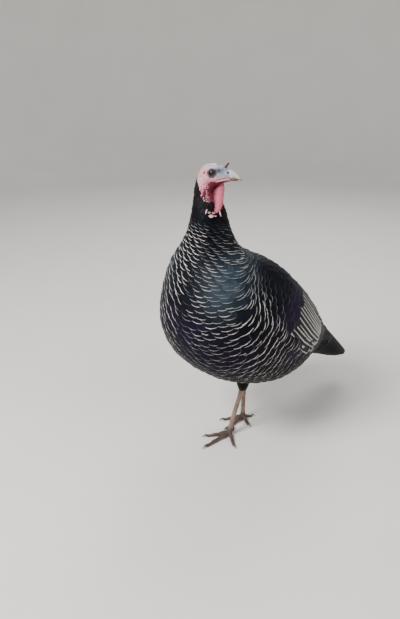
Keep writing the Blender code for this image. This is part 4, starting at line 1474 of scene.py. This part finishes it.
def build_coverts(side, sign, rng, seed):
    """Coverts in staggered rows over the shoulder, larger behind."""
    tips, halves = [], []
    k, row = COVERT_ROWS[0], 0
    while k < COVERT_ROWS[1]:
        large = smooth(2.3, 2.9, k)
        wide = 2 * np.radians(between(WING, np.array(k))[2]) * WING_RADIUS
        count = int(round(wide / (COVERT_APART[0] + COVERT_APART[1] * large)))
        v = (np.arange(count) + 0.5 * (row % 2) + 0.25) / count * 2 - 1
        v = v + rng.uniform(-0.04, 0.04, count)
        tips.append(wing_to_body(k + rng.uniform(-0.03, 0.03, count), v, sign))
        halves.append(np.full(count, COVERT_HALF[0] + COVERT_HALF[1] * large))
        k += (COVERT_STEP[0] + COVERT_STEP[1] * large) / WING_ROW
        row += 1
    tips, half = np.concatenate(tips), np.concatenate(halves)
    tint, pale, width = look_at(tips, seed + 1)
    tint = blend(tint, "plume_violet", 0.5 * smooth(0.0135, 0.0180, half))
    feathers(
        f"coverts_{side}", plumed, upstream(tips, 2.5 * half), tips, half, half * 0.62,
        sink=-0.0045, rise=rng.uniform(-0.0002, 0.0008, len(tips)),
        look=(tint, pale * 0.6, width), camber=0.0010,
    )


def build_wing(side, sign):
    """One wing: coverts, and behind them the stacked flight feathers, each tucked under the
    one above."""
    seed = 40 if sign > 0 else 50
    rng = np.random.default_rng(seed)
    build_coverts(side, sign, rng, seed)

    # Secondaries from high to low, then the long primaries that reach behind them.
    count = chosen("secondaries")
    j = np.linspace(0, 1, count)
    v = -0.84 + 1.60 * j
    reach = 4.75 + 0.75 * np.sin(np.pi * j**0.8) + 0.25 * j
    tip = wing_to_body(
        reach + rng.uniform(-0.14, 0.14, count), v - 0.04 + rng.uniform(-0.028, 0.028, count), sign
    )
    rim = (0.0048 + 0.0012 * (1 - j) ** 2) * rng.uniform(0.66, 1.2, count)
    pale = (0.95 - 0.1 * j) * rng.uniform(0.78, 1.0, count)
    feathers(
        f"secondaries_{side}", plumed, wing_to_body(np.full(count, SECONDARY_ROOTS), v, sign),
        tip, FLIGHT_HALF, 0.012, sink=-0.0050, rise=-0.0008,
        look=(markings(*tip.T)[0], pale, rim), camber=0.0004, roll=0.0014 * sign, narrow=0.75,
        edged=1.0,
    )
    count = chosen("primaries")
    j = np.linspace(0, 1, count)
    root = wing_to_body(np.full(count, PRIMARY_ROOTS), -0.55 + 1.42 * j, sign)
    tip = wing_to_body(8.75 - 2.2 * j, -0.35 + 1.20 * j, sign)
    feathers(
        f"primaries_{side}", plumed, root, tip, FLIGHT_HALF, 0.014, sink=-0.0040,
        rise=-0.0012 - 0.0006 * j,
        look=(markings(*tip.T)[0] * 1.1, 0.16, 0.0010), camber=0.0005, roll=0.0010 * sign,
        narrow=0.8, edged=1.0,
    )


def build_tail():
    """The folded tail, like a steep roof of feathers from its ridge down both sides."""
    roots, tips = [], []
    rng = np.random.default_rng(61)
    count = chosen("tail_feathers")
    for _, sign in SIDES:
        j = np.linspace(0, 1, count)
        angle = sign * np.radians(TAIL_RIDGE + TAIL_SPREAD * j)
        roots.append(np.stack([np.full(count, TAIL_ROOTS), angle], -1))
        tips.append(np.stack([0.10 + 0.35 * j**2 + rng.uniform(-0.08, 0.16, count), angle], -1))
    root, tip = np.concatenate(roots), np.concatenate(tips)
    feathers(
        "tail_feathers", body, root, tip, TAIL_HALF, 0.014, sink=-0.004, rise=-0.0002,
        look=(painted("plume_black", (len(tip),)) * 0.5, 0.10, 0.0012), camber=0.0004,
        roll=0.0010 * np.sign(root[:, 1]), narrow=0.7,
    )


def build_shanks():
    """Short dark feathers down both shanks to the hock, in staggered rings round a cone."""
    for side, _ in SIDES:
        _, hock, top = leg_places(side)

        def cone(u, q, hock=hock, top=top):
            """The shank's form, u of the way up it and at an angle round it. Its radius
            grows along a power curve."""
            ahead = (top - hock) / np.linalg.norm(top - hock)
            across = np.cross(ahead, (0.0, 1.0, 0.0))
            across /= np.linalg.norm(across)
            third = np.cross(ahead, across)
            low = HOCK_RADIUS * 1.3
            radius = low + (SHANK_RADIUS - low) * np.clip(u, 0, 9) ** 1.1
            round_it = np.cos(q)[..., None] * across + np.sin(q)[..., None] * third
            return hock + (top - hock) * u[..., None] + radius[..., None] * round_it

        tips = []
        for k, u in enumerate(np.arange(0.02, 0.75, 0.065)):
            count = int(9 + 14 * u)
            q = (np.arange(count) + 0.5 * (k % 2)) / count * 2 * np.pi
            tips.append(np.stack([np.full(count, u), q], -1))
        tips = np.concatenate(tips)
        half = 0.0048 + 0.005 * tips[:, 0]
        home = np.stack([0.1 + 0.8 * tips[:, 1] / (2 * np.pi), 0.1 + 0.8 * tips[:, 0]], -1)
        feathers(
            f"feathers_shank_{side}", cone, tips + (0.17, 0.0), tips, half, half,
            sink=-0.0022, rise=0.0002, look=(painted("plume_brown", (len(tips),)), 0.15, 0.0007),
            camber=0.0005, bake=home,
        )


# ------------------------------------------------------------------ horn and eyes
BILL_GAP = 0.0003  # between the bill's halves and round them
EYE_LEAN = 10  # degrees that the eyes look forwards


def build_bill():
    """Both halves of the bill, from half-round sections at the face to blunt tips, along a
    mouth line that bows down. The upper half hooks over the lower."""
    low, high, half = RINGS[BILL_BASE, 1], RINGS[BILL_BASE, 3], RINGS[BILL_BASE, 4]
    root, lean = BILL_ROOT
    gap = BILL_GAP
    angle = np.linspace(0, np.pi, 33)
    along = np.linspace(-0.08, 1, 36)[:, None]
    u = np.clip(along, 0, 1)
    share = np.sin(angle)
    for name, tip, top, clear, hook, colours in (
        ("bill_upper", BILL_TIP, high - 2 * gap, 0.0, BILL_HOOK, (hue("horn_base"), "horn_pale")),
        ("bill_lower", LOWER_BILL_TIP, low + gap, gap, 0.0, (hue("horn_brown") * 1.4, "horn_brown")),
    ):
        reach = root + (tip[0] - root) * along
        bow = (np.clip(reach - root, 0, 1) / (BILL_TIP[0] - root)) ** 1.5
        edge = GAPE_HEIGHT - clear - GAPE_DROP * bow - hook * u**9
        crest = top + (tip[1] - top) * u**1.6
        blunt = np.sqrt(np.clip(1 - (u / 1.002) ** (14 if hook else 5), 0, 1))
        side = (half - 2 * gap) * (1 - BILL_TAPER * u**1.7) * np.cos(angle) * blunt
        height = edge + (crest - edge) * share * (0.8 + 0.2 * blunt if hook else blunt)
        reach = reach - lean * (height - low) / (high - low) * (1 - u)
        tint = painted(
            colours[0], height.shape,
            (colours[1], smooth(0.0, 0.7, u)),
            ("horn_brown", 0.8 * smooth(0.40, 0.0, share)[None]),
            ("horn_brown", 0.75 * smooth(0.65, 1.0, u)),
            ("crown_pale", 0.7 * smooth(0.22, 0.0, u) * (hook > 0)),
            # Painted shade fills the nostril.
            ("nostril_dark", smooth(1.15, 0.7, nostril_away(reach, height))),
        )
        points, faces, tint = coloured_form(on_head(reach, side, height), tint)
        new_piece(name, "horn", [worn_horn], points, faces, [name], sharp=50, tint=tint)


def build_claws():
    """Blunt worn claws: cones that bend down along a parabola to just above the floor."""
    for side, _ in SIDES:
        ankle = leg_places(side)[0]
        for toe, (heading, length) in FEET[side]["toes"].items():
            share = TOE_RADIUS[toe] / TOE_RADIUS["middle"]
            u = np.linspace(-0.12, 1, 18)
            reach = length + 0.0006 + CLAW_LENGTH * share * (u - 0.12 * u**2)
            x, y = (ankle[:2] + pointing(heading) * reach[:, None]).T
            u = np.clip(u, 0, 1)
            thick = CLAW_RADIUS * share * (1 - 0.86 * u**1.3)
            z = thick + 0.0012 + 0.0022 * (1 - u) + 0.0022 * np.sin(np.pi * u) - 0.0010 * u
            rings = tube(np.stack([x, y, z], -1), thick, 16)
            tint = painted("claw_dark", rings.shape[:2], ("claw_pale", u[:, None]))
            points, faces, tint = coloured_form(rings, tint)
            name = f"claw_{side}_{toe}"
            new_piece(name, "horn", [worn_horn], points, faces, [name], tint=tint)


def build_eyes():
    """Each eyeball is a sphere whose cornea bulges a little as a bell curve, turned forwards
    by its lean."""
    tilt = np.linspace(0.02, np.pi - 0.02, 40)[:, None]
    q = np.linspace(0, 2 * np.pi, 48, endpoint=False)
    lean = math.radians(EYE_LEAN)
    radius = EYE_RADIUS * (0.985 + 0.03 * hump(tilt, 0, 0.5))
    ahead, a = radius * np.cos(tilt), radius * np.sin(tilt) * np.cos(q)
    reach = EYE[0] + a * math.cos(lean) + ahead * math.sin(lean)
    out = EYE[1] + ahead * math.cos(lean) - a * math.sin(lean)
    height = EYE[2] + radius * np.sin(tilt) * np.sin(q)
    iris = smooth(0.40, 0.46, tilt) * smooth(0.82, 0.72, tilt)
    tint = painted("pupil", height.shape, ("iris", iris))
    for side, sign in SIDES:
        points, faces, tints = coloured_form(on_head(reach, sign * out, height), tint)
        name = f"eye_{side}"
        new_piece(name, "eye", [wet_eye], points, faces, [name], tint=tints)


# ------------------------------------------------------------------ stage
CAMERA_LENS = 34.9  # mm, on a sensor 36 mm high
CAMERA_AZIMUTH, CAMERA_PITCH = 49.0, 22.6  # degrees to the bird's left, and down
CAMERA_AWAY, CAMERA_ASIDE, CAMERA_HEIGHT = 1.4126, 0.1026, 0.935
FLOOR_RADIUS, FLOOR_BEND, WALL_TOP = 3.6, 1.4, 3.4
AIM_HEIGHT = 0.4  # where the lights point


def build_floor():
    """A wide floor that curves up all round, along a quarter of a circle, into a wall."""
    bend = np.linspace(0.08, 1.57, 16)
    outer = FLOOR_RADIUS + FLOOR_BEND
    radius = [np.linspace(0.02, FLOOR_RADIUS, 20), FLOOR_RADIUS + FLOOR_BEND * np.sin(bend), [outer]]
    height = [np.zeros(20), FLOOR_BEND - FLOOR_BEND * np.cos(bend), [WALL_TOP]]
    radius, height = (np.concatenate(each)[:, None] for each in (radius, height))
    q = np.linspace(0, 2 * np.pi, 96, endpoint=False)
    rings = np.stack(np.broadcast_arrays(radius * np.cos(q), radius * np.sin(q), height), -1)
    points, (quads, fans) = closed_loft(rings)
    floor = new_object("studio_floor", points, [quads, fans[: len(q)]])
    floor.data.materials.append(material(studio_paint))


def build_stage():
    """The floor, a camera that looks down on the bird, three soft lights and a sky."""
    build_floor()
    azimuth = math.radians(CAMERA_AZIMUTH)
    right = np.array([math.cos(azimuth), math.sin(azimuth), 0.0])
    away = np.array([-math.sin(azimuth), math.cos(azimuth), 0.0])
    up = np.array([0.0, 0.0, 1.0])
    scene = bpy.context.scene
    camera = bpy.data.objects.new("camera", bpy.data.cameras.new("camera"))
    camera.data.lens = CAMERA_LENS
    camera.data.sensor_width = 36.0
    camera.location = BETWEEN_FEET - CAMERA_ASIDE * right - CAMERA_AWAY * away + CAMERA_HEIGHT * up
    camera.rotation_euler = (math.radians(90 - CAMERA_PITCH), 0, azimuth)
    scene.collection.objects.link(camera)
    scene.camera = camera

    fill_power = chosen("fill_power")
    for name, across, back, high, size, power in (
        ("key_light", -1.6, -1.3, 2.2, 0.9, chosen("key_power")),
        ("fill_light", 2.0, -1.0, 1.6, 1.8, fill_power),
        ("rim_light", 0.5, 2.0, 2.3, 1.4, fill_power * 1.3),
    ):
        data = bpy.data.lights.new(name, "AREA")
        data.energy = power
        data.size = size
        light = bpy.data.objects.new(name, data)
        light.location = BETWEEN_FEET + across * right + back * away + high * up
        x, y, z = BETWEEN_FEET + AIM_HEIGHT * up - light.location
        light.rotation_euler = (math.atan2(math.hypot(x, y), -z), 0, math.atan2(-x, y))
        scene.collection.objects.link(light)

    world = bpy.data.worlds.new("soft_sky")
    world.use_nodes = True
    sky = {"Color": (0.93, 0.96, 1.0, 1.0), "Strength": 0.5}
    connect(world.node_tree.nodes["Background"], sky)
    scene.world = world


# ------------------------------------------------------------------ add-on
class TURKEY_OT_skin(bpy.types.Operator):
    """Make the skin, bare on the head and scaled on the legs"""

    bl_idname = "turkey.skin"
    bl_label = "Skin"

    def execute(self, context):
        build_skin()
        return {"FINISHED"}


class TURKEY_OT_feathers(bpy.types.Operator):
    """Lay the feathers of the neck, breast, belly, back, nape and shanks"""

    bl_idname = "turkey.feathers"
    bl_label = "Body Feathers"

    def execute(self, context):
        build_body_feathers()
        build_nape()
        build_shanks()
        return {"FINISHED"}


class TURKEY_OT_wings(bpy.types.Operator):
    """Lay the coverts and flight feathers of both wings, and the tail"""

    bl_idname = "turkey.wings"
    bl_label = "Wings and Tail"

    def execute(self, context):
        for side, sign in SIDES:
            build_wing(side, sign)
        build_tail()
        return {"FINISHED"}


class TURKEY_OT_horn(bpy.types.Operator):
    """Make the bill and the claws"""

    bl_idname = "turkey.horn"
    bl_label = "Bill and Claws"

    def execute(self, context):
        build_bill()
        build_claws()
        return {"FINISHED"}


class TURKEY_OT_eyes(bpy.types.Operator):
    """Make both eyes"""

    bl_idname = "turkey.eyes"
    bl_label = "Eyes"

    def execute(self, context):
        build_eyes()
        return {"FINISHED"}


class TURKEY_OT_stage(bpy.types.Operator):
    """Make the floor, the lights and the camera"""

    bl_idname = "turkey.stage"
    bl_label = "Stage"

    def execute(self, context):
        build_stage()
        return {"FINISHED"}


OPERATORS = (
    TURKEY_OT_skin,
    TURKEY_OT_feathers,
    TURKEY_OT_wings,
    TURKEY_OT_horn,
    TURKEY_OT_eyes,
    TURKEY_OT_stage,
)


class TURKEY_PT_panel(bpy.types.Panel):
    """Lists the turkey's pieces, sizes and colours"""

    bl_idname = "TURKEY_PT_panel"
    bl_label = "Turkey"
    bl_space_type = "VIEW_3D"
    bl_region_type = "UI"
    bl_category = "Turkey"

    def draw(self, context):
        for each in OPERATORS:
            self.layout.operator(each.bl_idname)
        for group in (context.scene.turkey_sizes, context.scene.turkey_colours):
            for name in type(group).__annotations__:
                self.layout.prop(group, name)


CLASSES = (TurkeyColours, TurkeySizes, *OPERATORS, TURKEY_PT_panel)


def register():
    for each in CLASSES:
        bpy.utils.register_class(each)
    bpy.types.Scene.turkey_colours = bpy.props.PointerProperty(type=TurkeyColours)
    bpy.types.Scene.turkey_sizes = bpy.props.PointerProperty(type=TurkeySizes)


def unregister():
    del bpy.types.Scene.turkey_colours
    del bpy.types.Scene.turkey_sizes
    for each in reversed(CLASSES):
        bpy.utils.unregister_class(each)


def main():
    register()
    for each in OPERATORS:
        group, name = each.bl_idname.split(".")
        getattr(getattr(bpy.ops, group), name)()


if __name__ == "__main__":
    main()
